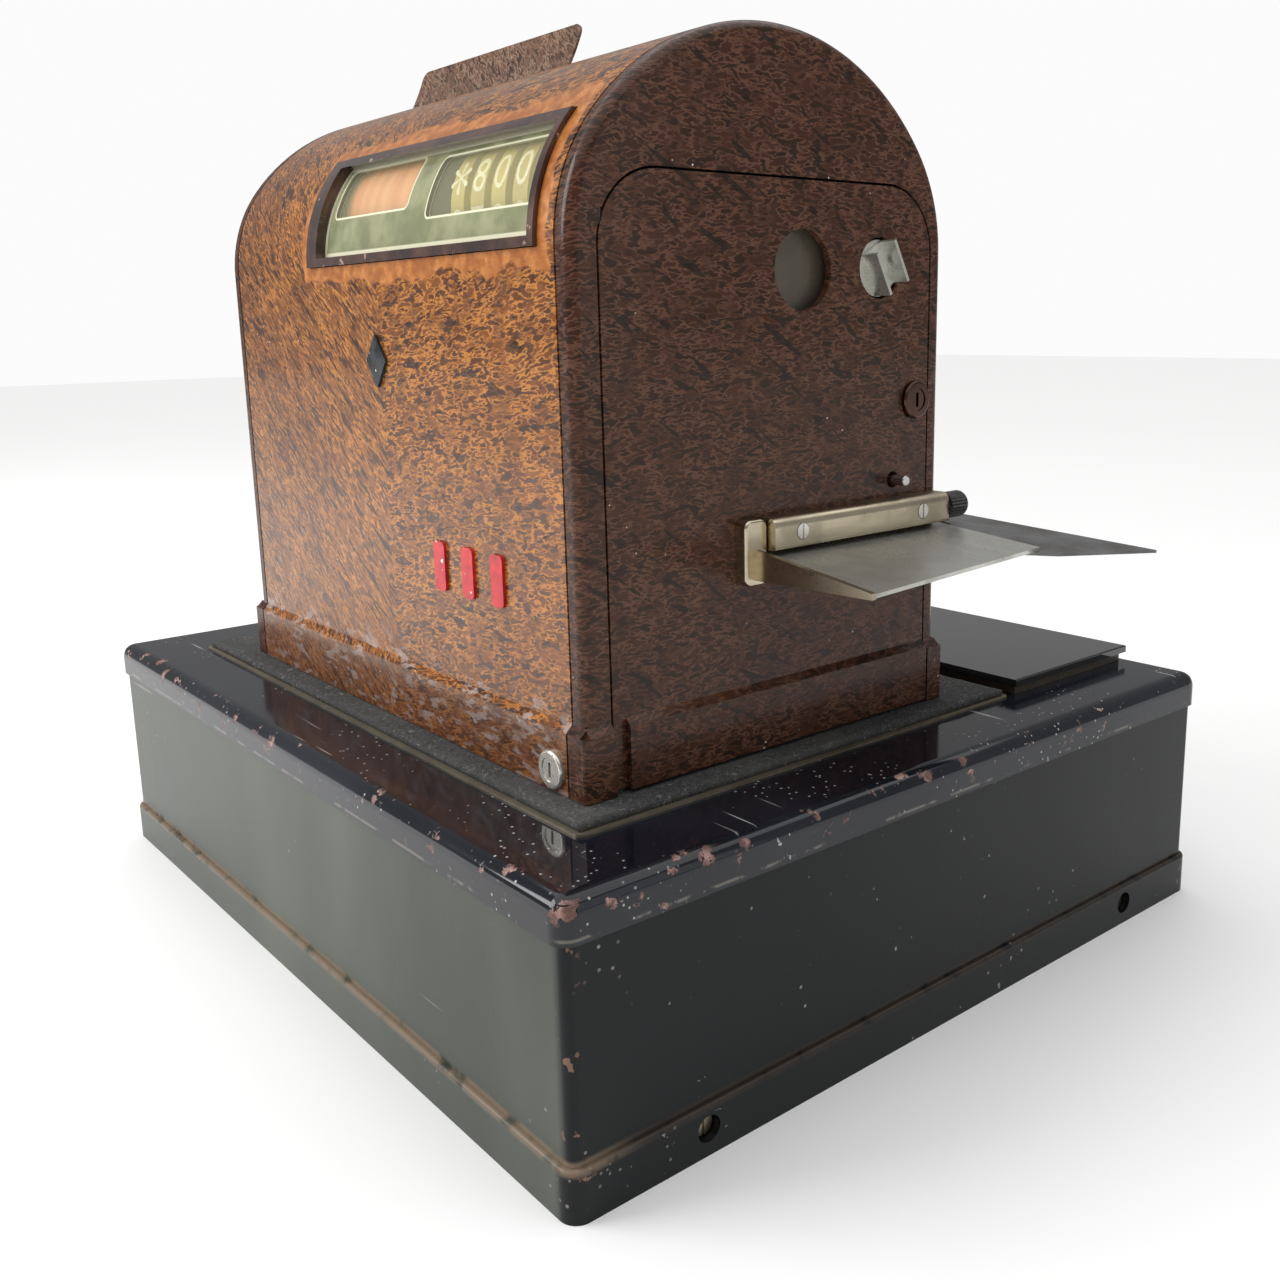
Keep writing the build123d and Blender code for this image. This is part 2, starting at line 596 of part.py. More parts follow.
def make_housing_wrapper():
    axis = (LEVER_Y, LEVER_Z)
    top, bottom = lever_plate_angles()
    px0, px1 = lever_plate_ends()
    spread = degrees(CLEAR / LEVER_PLATE_R)
    inner_cut = min(LEVER_PLATE_R, ARCH_RISE) - LEVER_CUT
    with BuildPart() as wrapper:
        arch_slab(0, WRAP_X0, WRAP_X1)
        arch_slab(WRAP_SHEET, WRAP_X0 - 1, WRAP_X1 + 1, HOUSE_Z0 - 1, Mode.SUBTRACT)
        band_along_x(WRAP_X0, WRAP_X1, HOUSE_BACK, 1)
        band_along_x(WRAP_X0, WRAP_X1, HOUSE_FRONT, -1)
        block(WINDOW_X0 - FRAME_RIM, WINDOW_X1 + FRAME_END, HOUSE_Y + HOUSE_HALF / 2, HOUSE_BACK + 5,
              WINDOW_Z0 - FRAME_RIM, WINDOW_Z1 + FRAME_RIM, Mode.SUBTRACT)
        opening = ring_sector_face(px0 - CLEAR, axis, inner_cut, LEVER_PLATE_R + LEVER_CUT,
                                   top - spread, bottom + spread)
        extrude(opening, amount=px1 - px0 + 2 * CLEAR, mode=Mode.SUBTRACT)
        block(LID_X0 + LID_LAP, LID_X1 - LID_LAP, LID_HINGE_Y + LID_LAP,
              LID_HINGE_Y + LID_SPAN - LID_LAP, SPRING_Z + SIDE_R, SPRING_Z + ARCH_RISE + 2,
              Mode.SUBTRACT)
        rod((LOCK_X, HOUSE_Y + HOUSE_HALF + BAND_OUT + 1, LOCK_Z), (0, -1, 0), LOCK_BORE_R + CLEAR,
            BAND_OUT + WRAP_SHEET + 3, Mode.SUBTRACT)
    keep(wrapper, "housing_wrapper")


def cap_shell(face_x, outward):
    """One end cap inside the open part block: plate, rim, spigot and bottom band."""
    rim_x = face_x - outward * CAP_DEPTH
    plate_x = face_x - outward * CAP_PLATE
    arch_slab(0, face_x, rim_x)
    ends = [e for e in edges().filter_by_position(Axis.X, face_x - 0.01, face_x + 0.01)
            if e.center().Z > HOUSE_Z0 + 1]
    fillet(ends, radius=CAP_EDGE_R)
    arch_slab(CAP_FLANGE, plate_x, rim_x - outward, HOUSE_Z0 - 1, Mode.SUBTRACT)


def cap_spigot(face_x, outward):
    """The inner lip that the wrapper sits over."""
    start = face_x - outward * (CAP_PLATE - 0.5)
    end = face_x - outward * (CAP_DEPTH + SPIGOT_REACH)
    outer = WRAP_SHEET + CLEAR
    inner = arch_face(outer + SPIGOT_SHEET, min(start, end), HOUSE_Z0 - 1)
    lip = Solid.extrude(arch_face(outer, min(start, end)).face(), Vector(abs(end - start), 0, 0))
    hollow = Solid.extrude(inner.face(), Vector(abs(end - start), 0, 0))
    add(lip - hollow)


def cap_bands(face_x, outward, spans):
    """Bottom band round the cap: on the end face over the given spans, and on both sides."""
    for y0, y1 in spans:
        band_along_y(y0, y1, face_x, outward)
    rim_x = face_x - outward * CAP_DEPTH
    x0, x1 = sorted((rim_x, face_x))
    band_along_x(x0, x1, HOUSE_BACK, 1)
    band_along_x(x0, x1, HOUSE_FRONT, -1)
    corner_x = sorted((face_x - outward * CAP_EDGE_R, face_x + outward * BAND_OUT))
    for side in (-1, 1):
        edge = HOUSE_Y + side * HOUSE_HALF
        ys = sorted((edge - side * CAP_EDGE_R, edge + side * BAND_OUT))
        block(corner_x[0], corner_x[1], ys[0], ys[1], HOUSE_Z0, HOUSE_Z0 + BAND_HEIGHT)


def door_outline(grow, low):
    """The door's outline in the open sketch line, grown by a gap."""
    y0 = DOOR_Y0 - grow
    y1 = DOOR_Y1 + grow
    top = DOOR_TOP + grow
    radius = DOOR_CORNER_R + grow
    Line((y0, low), (y0, top - radius))
    arc((y0 + radius, top - radius), radius, 180, 90)
    Line((y0 + radius, top), (y1 - radius, top))
    arc((y1 - radius, top - radius), radius, 90, 0)
    Line((y1, top - radius), (y1, low))
    Line((y1, low), (y0, low))


def make_left_end_cap():
    with BuildPart() as cap:
        cap_shell(HOUSE_X0, -1)
        cap_spigot(HOUSE_X0, -1)
        cap_bands(HOUSE_X0, -1, [(HOUSE_FRONT, DOOR_Y0), (DOOR_Y1, HOUSE_BACK)])
        corner_edges = cap.edges().filter_by(Axis.Z).group_by(Axis.X)[0]
        fillet([e for e in corner_edges if not DOOR_Y0 - 1 < e.center().Y < DOOR_Y1 + 1], radius=3)
        with BuildSketch(Plane.YZ.offset(HOUSE_X0 - BAND_OUT - 2)):
            with BuildLine():
                door_outline(DOOR_GAP, HOUSE_Z0 - 1)
            make_face()
        extrude(amount=CAP_PLATE + BAND_OUT + 4, mode=Mode.SUBTRACT)
        relief_z = DOOR_TOP - DOOR_CORNER_R
        rod((HINGE_X, HINGE_Y, relief_z), (0, 0, 1), HINGE_RELIEF_R, HINGE_RELIEF, Mode.SUBTRACT)
    keep(cap, "left_end_cap")


def make_right_end_cap():
    with BuildPart() as cap:
        cap_shell(HOUSE_X1, 1)
        cap_spigot(HOUSE_X1, 1)
        cap_bands(HOUSE_X1, 1, [(HOUSE_FRONT, HOUSE_BACK)])
        corner_edges = cap.edges().filter_by(Axis.Z).group_by(Axis.X)[-1]
        fillet(corner_edges, radius=3)
        rod((HOUSE_X1 - CAP_PLATE - 4, HOUSE_Y, CRANK_Z), (1, 0, 0), 16, CAP_PLATE + 8)
        rod((HOUSE_X1 - CAP_PLATE - 5, HOUSE_Y, CRANK_Z), (1, 0, 0), CRANK_SHAFT_R + RUN_FIT,
            CAP_PLATE + 12, Mode.SUBTRACT)
    keep(cap, "right_end_cap")


def make_window():
    y0 = HOUSE_Y + HOUSE_HALF / 2
    y1 = HOUSE_BACK + 5
    x0 = WINDOW_X0 - FRAME_RIM + CLEAR
    x1 = WINDOW_X1 + FRAME_END - CLEAR
    z0 = WINDOW_Z0 - FRAME_RIM + CLEAR
    z1 = WINDOW_Z1 + FRAME_RIM - CLEAR
    with BuildPart() as frame:
        arch_slab(-FRAME_PROUD, x0, x1)
        arch_slab(FRAME_DEPTH, x0 - 1, x1 + 1, HOUSE_Z0 - 1, Mode.SUBTRACT)
        block(x0, x1, y0, y1, z0, z1, Mode.INTERSECT)
        block(WINDOW_X0, WINDOW_X1, y0, y1, WINDOW_Z0, WINDOW_Z1, Mode.SUBTRACT)
    keep(frame, "window_frame")
    with BuildPart() as glass:
        arch_slab(GLASS_INSET, WINDOW_X0, WINDOW_X1)
        arch_slab(GLASS_INSET + GLASS_SHEET, WINDOW_X0 - 1, WINDOW_X1 + 1, HOUSE_Z0 - 1, Mode.SUBTRACT)
        block(WINDOW_X0, WINDOW_X1, y0, y1, WINDOW_Z0, WINDOW_Z1, Mode.INTERSECT)
    keep(glass, "window_glass")


def make_lever_plate():
    axis = (LEVER_Y, LEVER_Z)
    top, bottom = lever_plate_angles()
    x0, x1 = lever_plate_ends()
    outer = LEVER_PLATE_R + LEVER_PLATE_SHEET
    slot_top = 180 - LEVER_TOP - PLATE_MARGIN / 2
    slot_bottom = slot_top + 9 * DIGIT_STEP + PLATE_MARGIN
    with BuildPart() as plate:
        extrude(ring_sector_face(x0, axis, LEVER_PLATE_R, outer, top, bottom), amount=x1 - x0)
        for number in range(LEVER_COUNT):
            middle = lever_x(number) + LEVER_SHEET / 2
            slot = ring_sector_face(middle - SLOT_WIDTH / 2, axis, LEVER_PLATE_R - 5, outer + 5,
                                    slot_top, slot_bottom)
            extrude(slot, amount=SLOT_WIDTH, mode=Mode.SUBTRACT)
    keep(plate, "lever_plate")


def make_top_lid():
    """Curved flap over the roll, hinged on the crown and standing open."""
    hinge_angle = degrees(atan2(sqrt(LID_HINGE_R ** 2 - (LID_HINGE_Y - HOUSE_Y) ** 2),
                                LID_HINGE_Y - HOUSE_Y))
    hinge_z = CROWN_Z + LID_HINGE_R * sin(radians(hinge_angle))
    reach = degrees(LID_SPAN / CROWN_R)
    away = (HOUSE_Y - LID_HINGE_Y, CROWN_Z - hinge_z)
    turn = radians(LID_OPEN)
    centre_y = LID_HINGE_Y + away[0] * cos(turn) - away[1] * sin(turn)
    centre_z = hinge_z + away[0] * sin(turn) + away[1] * cos(turn)
    plane = Plane(origin=(LID_X0, centre_y, centre_z), x_dir=(0, cos(turn), sin(turn)), z_dir=(1, 0, 0))
    inner = LID_HINGE_R - LID_SHEET / 2
    outer = LID_HINGE_R + LID_SHEET / 2
    with BuildPart() as lid:
        with BuildSketch(plane):
            with BuildLine():
                arc((0, 0), outer, hinge_angle, hinge_angle - reach)
                Line(polar((0, 0), outer, hinge_angle - reach), polar((0, 0), inner, hinge_angle - reach))
                arc((0, 0), inner, hinge_angle - reach, hinge_angle)
                Line(polar((0, 0), inner, hinge_angle), polar((0, 0), outer, hinge_angle))
            make_face()
        extrude(amount=LID_X1 - LID_X0)
        rod((LID_X0, LID_HINGE_Y, hinge_z), (1, 0, 0), LID_KNUCKLE_R, LID_X1 - LID_X0)
        free_edge = lid.edges().filter_by(lambda e: e.length < 2 * LID_SHEET)
        corners = [e for e in free_edge if e.center().Z > hinge_z + 5]
        fillet(corners, radius=6)
    keep(lid, "top_lid")


def make_badges():
    """Plain raised shapes on the customer's face: one dark lozenge and three red bars."""
    face_y = HOUSE_BACK
    rise = 1.6
    lozenge_x = HOUSE_X0 + LOZENGE_FROM_END
    bars_x = HOUSE_X0 + BADGE_BARS_FROM_END
    plane = Plane(origin=(0, face_y, 0), x_dir=(1, 0, 0), z_dir=(0, -1, 0))
    with BuildPart() as badges:
        with BuildSketch(plane):
            with BuildLine():
                Polyline((lozenge_x, LOZENGE_Z - 14), (lozenge_x + 11, LOZENGE_Z),
                         (lozenge_x, LOZENGE_Z + 14), (lozenge_x - 11, LOZENGE_Z), close=True)
            make_face()
            for number in range(3):
                with Locations((bars_x - number * BADGE_BAR_PITCH, BADGE_BARS_Z)):
                    RectangleRounded(11, 26, 3)
        extrude(amount=-rise)
    keep(badges, "badges")


def make_customer_lock():
    face_y = HOUSE_BACK + BAND_OUT
    rim = 2.6
    with BuildPart() as ring:
        rod((LOCK_X, face_y, LOCK_Z), (0, 1, 0), LOCK_R, rim)
        fillet(ring.faces().sort_by(Axis.Y)[-1].edges(), radius=1.4)
        rod((LOCK_X, face_y - 1, LOCK_Z), (0, 1, 0), LOCK_BORE_R, rim + 2, Mode.SUBTRACT)
    keep(ring, "customer_lock_ring")
    with BuildPart() as plug:
        rod((LOCK_X, face_y - 9, LOCK_Z), (0, 1, 0), LOCK_BORE_R - RUN_FIT, 9 + rim - 0.4)
        block(LOCK_X - 0.9, LOCK_X + 0.9, face_y + rim - 4, face_y + rim + 1,
              LOCK_Z - 3.6, LOCK_Z + 3.6, Mode.SUBTRACT)
    keep(plug, "customer_lock_plug")


# ---------------------------------------------------------------- side door and what it carries
def make_side_door():
    low = HOUSE_Z0 + DOOR_SILL
    plate_x = HOUSE_X0 + CAP_PLATE
    with BuildPart() as door:
        with BuildSketch(Plane.YZ.offset(HOUSE_X0)):
            with BuildLine():
                door_outline(0, low)
            make_face()
        extrude(amount=CAP_PLATE)
        band_along_y(DOOR_Y0, HINGE_Y - HINGE_BAND_SPACE, HOUSE_X0, -1, low)
        holes = ((SIGHT_Y, SIGHT_Z, SIGHT_R), (KEY_Y, KEY_Z, KEY_HOLE_R), (PIN_Y, PIN_Z, PIN_HOLE_R),
                 (DOOR_LOCK_Y, DOOR_LOCK_Z, LOCK_BORE_R + CLEAR))
        for y, z, radius in holes:
            rod((HOUSE_X0 - 1, y, z), (1, 0, 0), radius, CAP_PLATE + 2, Mode.SUBTRACT)
        rod((HINGE_X, HINGE_Y, low - 1), (0, 0, 1), HINGE_PIN_R + RUN_FIT, 9, Mode.SUBTRACT)
        rod((HINGE_X, HINGE_Y, upper_pin_z() - 7), (0, 0, 1), HINGE_PIN_R + RUN_FIT, 30, Mode.SUBTRACT)
        block(plate_x - 0.01, plate_x + 6, DOOR_Y1 - 40, DOOR_Y1 - 34, low + 60, DOOR_TOP - 60)
    keep(door, "side_door")


def upper_pin_z():
    """Height of the door's rounded corner over the hinge axis."""
    from_centre = HINGE_Y - (DOOR_Y1 - DOOR_CORNER_R)
    return DOOR_TOP - DOOR_CORNER_R + sqrt(DOOR_CORNER_R ** 2 - from_centre ** 2)


def make_door_hinge_pins():
    low = HOUSE_Z0
    top = upper_pin_z()
    with BuildPart() as pins:
        rod((HINGE_X, HINGE_Y, low), (0, 0, 1), HINGE_PIN_R, DOOR_SILL + 5)
        block(HOUSE_X0 + 0.3, HOUSE_X0 + CAP_PLATE, HINGE_Y - 3, DOOR_Y1 + DOOR_GAP + 5, low,
              low + DOOR_SILL - CLEAR)
        rod((HINGE_X, HINGE_Y, top - 6), (0, 0, 1), HINGE_PIN_R, 14)
    keep(pins, "door_hinge_pins")


def make_door_lock():
    rim = 3.0
    with BuildPart() as ring:
        rod((HOUSE_X0, DOOR_LOCK_Y, DOOR_LOCK_Z), (-1, 0, 0), DOOR_LOCK_R, rim)
        fillet(ring.faces().sort_by(Axis.X)[0].edges(), radius=1.5)
        rod((HOUSE_X0 + 1, DOOR_LOCK_Y, DOOR_LOCK_Z), (-1, 0, 0), LOCK_BORE_R, rim + 2, Mode.SUBTRACT)
    keep(ring, "door_lock_ring")
    back_x = HOUSE_X0 + CAP_PLATE + 3
    with BuildPart() as plug:
        rod((back_x, DOOR_LOCK_Y, DOOR_LOCK_Z), (-1, 0, 0), LOCK_BORE_R - RUN_FIT,
            back_x - HOUSE_X0 + rim - 0.6)
        block(back_x, back_x + 2, DOOR_LOCK_Y - 4, DOOR_LOCK_Y + 4, DOOR_LOCK_Z - 4, DOOR_LOCK_Z + 14)
        block(HOUSE_X0 - rim - 1, HOUSE_X0 + 1, DOOR_LOCK_Y - 1, DOOR_LOCK_Y + 1,
              DOOR_LOCK_Z - 3.8, DOOR_LOCK_Z + 3.8, Mode.SUBTRACT)
    keep(plug, "door_lock_plug")


def shelf_height(x):
    """Top of the sloping shelf at x."""
    return SHELF_WALL_Z - (HOUSE_X0 - x) * tan(radians(SHELF_FALL))


def sloping_plate(points, thickness, drop):
    """A plate of the shelf's slope with the given outline, its top `drop` under the shelf's."""
    fall = radians(SHELF_FALL)
    plane = Plane(origin=(HOUSE_X0, 0, SHELF_WALL_Z - drop), x_dir=(-cos(fall), 0, -sin(fall)),
                  z_dir=(-sin(fall), 0, cos(fall)))
    with BuildSketch(plane) as outline:
        with BuildLine():
            Polyline(*[((HOUSE_X0 - x) / cos(fall), -y) for x, y in points], close=True)
        make_face()
    extrude(outline.sketch, amount=-thickness)


def make_shelf():
    spindle = (HOUSE_X0 - BAR_OUT + 5.2, BAR_Y0, BAR_Z0 + BAR_HEIGHT / 2)
    bar_x = HOUSE_X0 - BAR_OUT
    screw_places = (BAR_Y0 + 22, BAR_Y1 - 28)
    screw_z = BAR_Z0 + BAR_HEIGHT / 2
    with BuildPart() as bar:
        block(bar_x, HOUSE_X0, BAR_Y0, BAR_Y1 - 9, BAR_Z0, BAR_Z0 + BAR_HEIGHT)
        front_top = bar.edges().filter_by(Axis.Y).group_by(Axis.Z)[-1].sort_by(Axis.X)[0]
        front_low = bar.edges().filter_by(Axis.Y).group_by(Axis.Z)[0].sort_by(Axis.X)[0]
        fillet(front_top, radius=5)
        fillet(front_low, radius=1.5)
        rod(spindle, (0, 1, 0), 3 + RUN_FIT, 30, Mode.SUBTRACT)
        for y in screw_places:
            rod((bar_x - 1, y, screw_z), (1, 0, 0), SHELF_SCREW_R + CLEAR, 3.0, Mode.SUBTRACT)
    keep(bar, "shelf_bar")

    with BuildPart() as screws:
        for y in screw_places:
            rod((bar_x + 2, y, screw_z), (-1, 0, 0), SHELF_SCREW_R, 2.2)
            block(bar_x - 0.5, bar_x + 0.6, y - 0.6, y + 0.6, screw_z - 5, screw_z + 5, Mode.SUBTRACT)
    keep(screws, "shelf_screws")

    with BuildPart() as knob:
        rod((spindle[0], BAR_Y0 - 0.5, spindle[2]), (0, -1, 0), KNOB_R, KNOB_LENGTH)
        fillet(knob.faces().sort_by(Axis.Y)[0].edges(), radius=2.5)
        rod((spindle[0], BAR_Y0 - 1, spindle[2]), (0, 1, 0), 3, 28)
    keep(knob, "feed_knob")

    tip_x = HOUSE_X0 - SHELF_REACH
    foot_y0 = BAR_Y1 - 8.5
    with BuildPart() as bracket:
        block(HOUSE_X0 - BRACKET_FOOT, HOUSE_X0, foot_y0, BAR_Y1 + 6, BAR_Z0 - 17, BAR_Z0 + BAR_HEIGHT)
        fillet(bracket.edges().filter_by(Axis.X), radius=4)
        fillet(bracket.faces().sort_by(Axis.X)[0].edges(), radius=1.5)
        gusset = Plane(origin=(0, BAR_Y1, 0), x_dir=(1, 0, 0), z_dir=(0, -1, 0))
        with BuildSketch(gusset):
            with BuildLine():
                Polyline((HOUSE_X0 - 6, shelf_height(HOUSE_X0 - 6) + 4),
                         (tip_x, shelf_height(tip_x) + 0.5), (tip_x, shelf_height(tip_x) - 2.5),
                         (HOUSE_X0 - 6, BAR_Z0 - 14), close=True)
            make_face()
        extrude(amount=GUSSET_SHEET)
    keep(bracket, "shelf_bracket")

    plate_y1 = BAR_Y1 - GUSSET_SHEET
    with BuildPart() as shelf:
        sloping_plate([(HOUSE_X0 - BRACKET_FOOT - CLEAR, plate_y1), (tip_x, plate_y1),
                       (tip_x + 14, BAR_Y0 - 4), (HOUSE_X0 - 1, BAR_Y0 - 4),
                       (HOUSE_X0 - 1, foot_y0 - CLEAR), (HOUSE_X0 - BRACKET_FOOT - CLEAR, foot_y0 - CLEAR)],
                      SHELF_SHEET, 0)
        block(HOUSE_X0 - 1.8, HOUSE_X0, BAR_Y0 + 8, BAR_Y1 - 9, BAR_Z0 - 12, SHELF_WALL_Z - 1)
    keep(shelf, "receipt_shelf")

    with BuildPart() as extension:
        sloping_plate([(HOUSE_X0 - 4, BAR_Y0 + 10), (tip_x + 20, BAR_Y0 + 10), (tip_x + 5, BAR_Y0 - 8),
                       (tip_x - 19, BAR_Y0 - 62), (HOUSE_X0 + 10, BAR_Y0 - 42),
                       (HOUSE_X0 + 10, BAR_Y0 - 16), (HOUSE_X0 - 4, BAR_Y0 - 14)],
                      EXTENSION_SHEET, SHELF_SHEET / cos(radians(SHELF_FALL)))
    keep(extension, "shelf_extension")


def make_frame_controls():
    """The key, the release pin and the sight plate that the inner frame carries behind the door."""
    frame_x = LEFT_FRAME_X
    disc_x = HOUSE_X0 + CAP_PLATE + 1.5
    lean = radians(KEY_LEAN)
    with BuildPart() as key:
        rod((frame_x + FRAME_SHEET + 3, KEY_Y, KEY_Z), (-1, 0, 0), 4 - RUN_FIT,
            frame_x + FRAME_SHEET + 3 - disc_x)
        rod((disc_x, KEY_Y, KEY_Z), (-1, 0, 0), KEY_HOLE_R - 1.2, 3.5)
        channel = Plane(origin=(disc_x - 3.5, KEY_Y, KEY_Z), x_dir=(0, cos(lean), sin(lean)),
                        z_dir=(-1, 0, 0))
        with BuildSketch(channel):
            Rectangle(13, 23)
        extrude(amount=1.8)
        with BuildSketch(channel):
            with Locations((-7.4, 0), (7.4, 0)):
                Rectangle(1.8, 23)
        extrude(amount=11)
        rod((disc_x - 5.0, KEY_Y, KEY_Z), (-1, 0, 0), 4.2, 2)
    keep(key, "turn_key")

    with BuildPart() as pin:
        rod((frame_x + 12, PIN_Y, PIN_Z), (-1, 0, 0), PIN_R, frame_x + 12 - HOUSE_X0 + 10)
        fillet(pin.faces().sort_by(Axis.X)[0].edges(), radius=0.8)
        rod((frame_x - 5, PIN_Y, PIN_Z), (-1, 0, 0), PIN_R + 2.5, 2)
    keep(pin, "release_pin")

    plate_x = HOUSE_X0 + CAP_PLATE + 4
    with BuildPart() as sight:
        rod((plate_x, SIGHT_Y, SIGHT_Z), (1, 0, 0), SIGHT_R + 4, 1.6)
        rod((plate_x + 1, SIGHT_Y + 15, SIGHT_Z), (1, 0, 0), 4, frame_x - plate_x - 1)
    keep(sight, "sight_plate")


# ---------------------------------------------------------------- inner frame and shafts
def frame_plate(x, holes):
    arch_slab(FRAME_INSET, x, x + FRAME_SHEET)
    for y, z, radius in holes:
        rod((x - 1, y, z), (1, 0, 0), radius, FRAME_SHEET + 2, Mode.SUBTRACT)


def tie_places():
    return ((HOUSE_Y - 80, HOUSE_Z0 + 40), (HOUSE_Y + 80, HOUSE_Z0 + 40), (HOUSE_Y - 80, HOUSE_Z0 + 120),
            (HOUSE_Y + 80, HOUSE_Z0 + 120))


def make_frames():
    shafts = [(LEVER_Y, LEVER_Z, SHAFT_R), (DRUM_Y, DRUM_Z, SHAFT_R)]
    ties = [(y, z, TIE_R) for y, z in tie_places()]
    with BuildPart() as left:
        frame_plate(LEFT_FRAME_X, shafts + ties
                    + [(KEY_Y, KEY_Z, 4), (PIN_Y, PIN_Z, PIN_R + RUN_FIT)])
    keep(left, "left_side_frame")
    with BuildPart() as centre:
        frame_plate(CENTRE_FRAME_X, shafts + ties + [(ROLL_Y, ROLL_Z, SHAFT_R)])
    keep(centre, "centre_frame")
    with BuildPart() as right:
        frame_plate(RIGHT_FRAME_X, shafts + ties
                    + [(ROLL_Y, ROLL_Z, SHAFT_R), (HOUSE_Y, CRANK_Z, CRANK_SHAFT_R + RUN_FIT)])
        rod((RIGHT_FRAME_X + FRAME_SHEET - 0.5, HOUSE_Y, MAIN_Z), (1, 0, 0), STUD_R,
            GEAR_X + GEAR_WIDTH + 4 - RIGHT_FRAME_X - FRAME_SHEET)
    keep(right, "right_side_frame")


def make_shafts():
    end = 3.0
    left = LEFT_FRAME_X - end
    right = RIGHT_FRAME_X + FRAME_SHEET + end
    with BuildPart() as shafts:
        rod((left, LEVER_Y, LEVER_Z), (1, 0, 0), SHAFT_R, right - left)
        rod((left, DRUM_Y, DRUM_Z), (1, 0, 0), SHAFT_R, right - left)
        rod((CENTRE_FRAME_X - end, ROLL_Y, ROLL_Z), (1, 0, 0), SHAFT_R, right - CENTRE_FRAME_X + end)
    keep(shafts, "frame_shafts")
    with BuildPart() as ties:
        for y, z in tie_places():
            rod((left, y, z), (1, 0, 0), TIE_R, right - left)
    keep(ties, "tie_bars")


# ---------------------------------------------------------------- amount levers and figure drums
def lever_x(number):
    """Near face of the sector beside drum `number`."""
    return DRUM_X0 - number * DRUM_PITCH + SECTOR_OFFSET


def make_lever(number):
    axis = (LEVER_Y, LEVER_Z)
    x = lever_x(number)
    set_turn = LEVER_REST[number] * DIGIT_STEP
    arm_angle = 180 - LEVER_TOP + set_turn
    tooth = 360 / SECTOR_TEETH
    above = int(set_turn / tooth) + 2
    below = int((9 * DIGIT_STEP - set_turn) / tooth) + 2
    first = MESH_ANGLE - below * tooth
    teeth = gear_outline(axis, SECTOR_TEETH, GEAR_MODULE, first, above + below + 1)
    with BuildPart() as lever:
        with BuildSketch(Plane.YZ.offset(x)):
            with BuildLine():
                Polyline(axis, *teeth, close=True)
            make_face()
            with Locations(axis):
                Circle(9)
            with Locations(Location((axis[0], axis[1], 0), (0, 0, arm_angle))):
                Rectangle(LEVER_REACH, 9, align=(Align.MIN, Align.CENTER))
        extrude(amount=LEVER_SHEET)
        rod((x - 3, *axis), (1, 0, 0), 9, LEVER_SHEET + 6)
        tip = polar(axis, LEVER_REACH - 5, arm_angle)
        tab = Plane(origin=(x + LEVER_SHEET / 2 - 5, *tip), z_dir=(1, 0, 0),
                    x_dir=(0, cos(radians(arm_angle)), sin(radians(arm_angle))))
        with BuildSketch(tab):
            RectangleRounded(14, 11, 2.5)
        extrude(amount=10)
        rod((x - 4, *axis), (1, 0, 0), SHAFT_R + RUN_FIT, LEVER_SHEET + 8, Mode.SUBTRACT)
    keep(lever, f"lever_{number + 1}")


def make_drum(number):
    middle = DRUM_X0 - number * DRUM_PITCH
    face = middle + DRUM_WIDTH / 2
    axis = (DRUM_Y, DRUM_Z)
    tooth = 360 / PINION_TEETH
    first = 180 + MESH_ANGLE + tooth / 2
    with BuildPart() as drum:
        rod((middle - DRUM_WIDTH / 2, *axis), (1, 0, 0), DRUM_R, DRUM_WIDTH)
        with BuildSketch(Plane.YZ.offset(face)):
            with BuildLine():
                Polyline(*gear_outline(axis, PINION_TEETH, GEAR_MODULE, first, PINION_TEETH), close=True)
            make_face()
        extrude(amount=5)
        rod((middle - DRUM_WIDTH, *axis), (1, 0, 0), SHAFT_R + RUN_FIT, 2 * DRUM_WIDTH + 6, Mode.SUBTRACT)
    keep(drum, f"indicator_drum_{number + 1}")


def make_flag_drum():
    with BuildPart() as drum:
        rod((FLAG_X0, DRUM_Y, DRUM_Z), (1, 0, 0), FLAG_R, FLAG_X1 - FLAG_X0)
        rod((FLAG_X0 - 1, DRUM_Y, DRUM_Z), (1, 0, 0), SHAFT_R + RUN_FIT, FLAG_X1 - FLAG_X0 + 2,
            Mode.SUBTRACT)
    keep(drum, "flag_drum")


def make_paper_roll():
    with BuildPart() as roll:
        rod((ROLL_X0, ROLL_Y, ROLL_Z), (1, 0, 0), ROLL_R, ROLL_X1 - ROLL_X0)
        rod((ROLL_X0 - 1, ROLL_Y, ROLL_Z), (1, 0, 0), SHAFT_R + 0.1, ROLL_X1 - ROLL_X0 + 2, Mode.SUBTRACT)
    keep(roll, "paper_roll")


